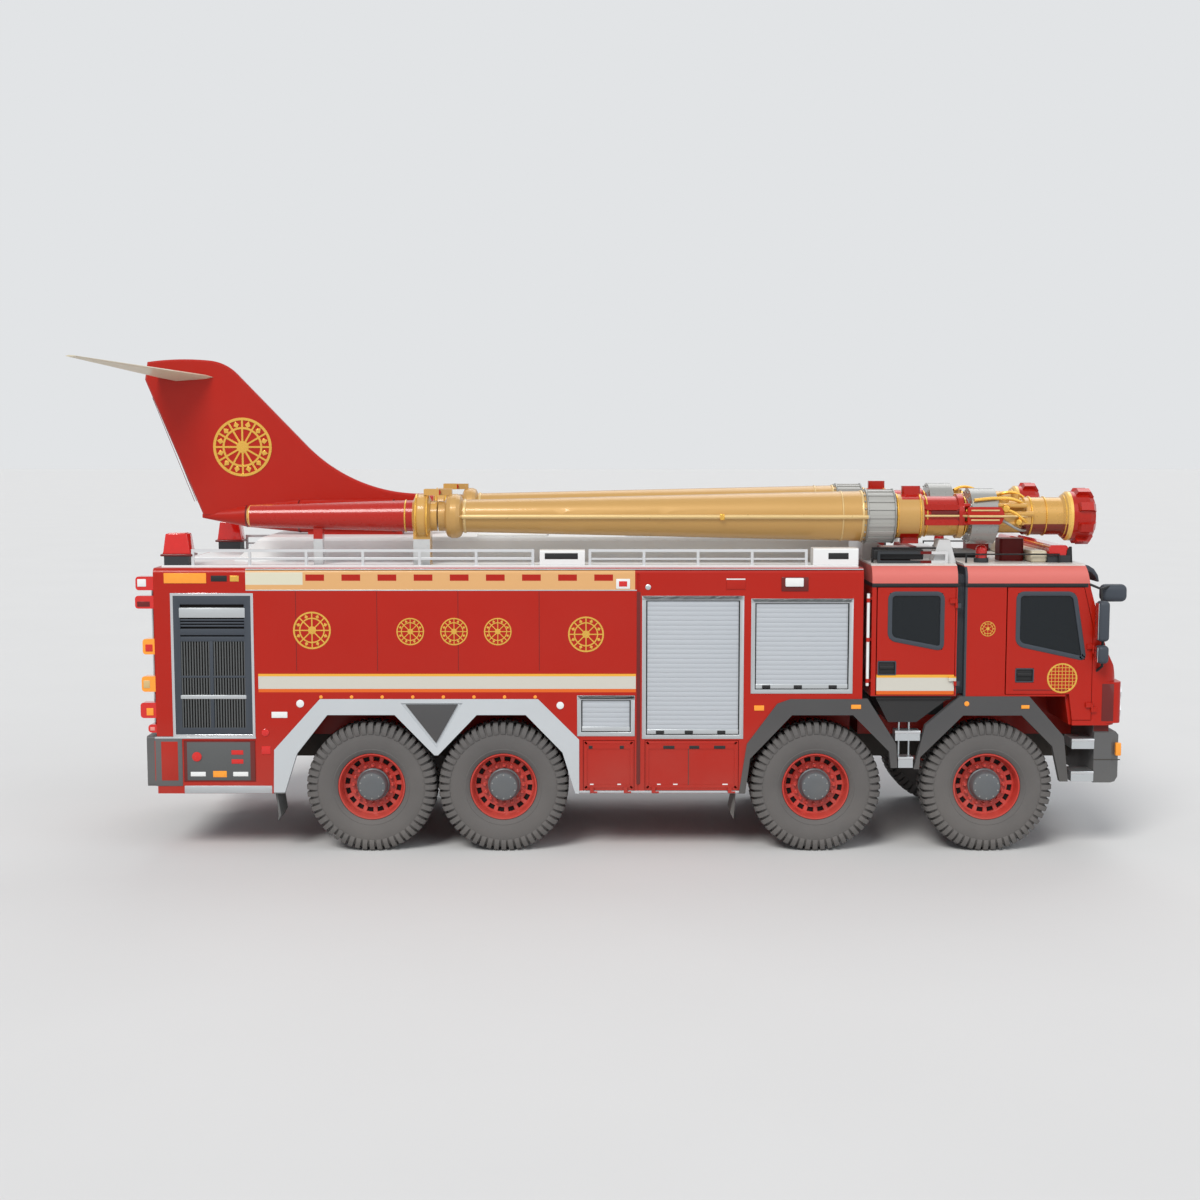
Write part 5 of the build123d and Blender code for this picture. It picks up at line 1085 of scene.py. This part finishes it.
# ---- rear face
REAR = (
    # painted shade: the near black sheet behind the slats stands in for the dark inside the grille
    ("grille_back", (-4.8445, -1.0, 1.6), (-4.8375, 1.0, 2.73), 0.002, painted_opening_shade),
    ("grille_foot", (-4.856, -1.05, 1.55), (-4.838, 1.05, 1.605), 0.005, silver),
    ("grille_head", (-4.856, -1.05, 2.725), (-4.838, 1.05, 2.78), 0.005, silver),
    ("grille_right", (-4.856, -1.05, 1.55), (-4.838, -0.995, 2.78), 0.005, silver),
    ("grille_left", (-4.856, 0.995, 1.55), (-4.838, 1.05, 2.78), 0.005, silver),
    ("grille_post", (-4.853, -0.01, 1.6), (-4.838, 0.01, 2.73), 0.005, silver),
)
LADDER_HALF = 0.15
parts = []
add(parts, slate, straight_row(box((-4.852, -0.98, 1.62), (-4.836, 0.98, 1.646)), 20, (0, 0, 0.055)))
parts += blocks(REAR)
for y in (-1.18, 1.18):
    rung = box((-4.905, y - LADDER_HALF, 1.42), (-4.885, y + LADDER_HALF, 1.445))
    add(parts, silver, straight_row(rung, 6, (0, 0, 0.26)))
    for rail_y in (y - LADDER_HALF, y + LADDER_HALF):
        add(parts, silver, pipe(((-4.838, rail_y, 1.3), (-4.895, rail_y, 1.33), (-4.895, rail_y, 2.9),
                                 (-4.838, rail_y, 2.93)), 0.014))
shown("rear_trims", parts)

# ---- floor, light and camera
FLOOR_SIZE = 500
floor = added(bpy.ops.mesh.primitive_plane_add, size=1)
floor.name = floor.data.name = "studio_floor"
with editing():
    bpy.ops.transform.resize(value=(FLOOR_SIZE, FLOOR_SIZE, 1))
tinted(floor, Finish("pale_floor", (214, 214, 213), 0.8, mottle=0.02, size=0.4))


def soft_sun(name, azimuth, height, strength, spread, colour=(1, 1, 1)):
    """A wide soft light from a compass direction and a height in degrees; azimuth 0 is the viewer's side."""
    a, h = radians(azimuth), radians(height)
    place = Vector((sin(a) * cos(h), -cos(a) * cos(h), sin(h))) * 30
    bpy.ops.object.light_add(type="SUN", location=place)
    lamp = bpy.context.object
    lamp.name = name
    lamp.data.energy = strength
    lamp.data.angle = radians(spread)
    lamp.data.color = colour
    lamp.rotation_euler = place.to_track_quat("Z", "Y").to_euler()
    return lamp


lights = [
    soft_sun("key_light", -24, 44, 2.15, 24, (1, 0.985, 0.96)),
    soft_sun("fill_light", 48, 30, 0.7, 60, (0.95, 0.97, 1)),
    soft_sun("back_light", 165, 50, 0.6, 40),
]

# a pale room for the camera and for reflections, over a dimmer one that lights the truck
world = bpy.data.worlds.new("pale_room")
scene.world = world
world.use_nodes = True
tree = world.node_tree
tree.nodes.clear()
output, mixed, path, seen, lit, either, shine = (
    tree.nodes.new(f"ShaderNode{kind}")
    for kind in ("OutputWorld", "MixShader", "LightPath", "Background", "Background", "Math", "Math"))
put(seen, Color=tone(226, 228, 230), Strength=1.0)
put(lit, Color=(0.9, 0.93, 1.0, 1), Strength=0.42)
either.operation = shine.operation = "MAXIMUM"
for start, end in (
    (path.outputs["Is Camera Ray"], either.inputs[0]), (path.outputs["Is Glossy Ray"], either.inputs[1]),
    (either.outputs[0], shine.inputs[0]), (path.outputs["Is Transmission Ray"], shine.inputs[1]),
    (shine.outputs[0], mixed.inputs[0]), (lit.outputs[0], mixed.inputs[1]), (seen.outputs[0], mixed.inputs[2]),
    (mixed.outputs[0], output.inputs[0]),
):
    tree.links.new(start, end)

bpy.ops.object.camera_add(location=(0, -19.48, 4.5), rotation=(radians(90 - 5.45), 0, 0))
camera = bpy.context.object
camera.name = "camera"
camera.data.lens = 50
camera.data.sensor_width = 36
camera.data.clip_end = 600
scene.camera = camera
scene.view_settings.view_transform = "Standard"
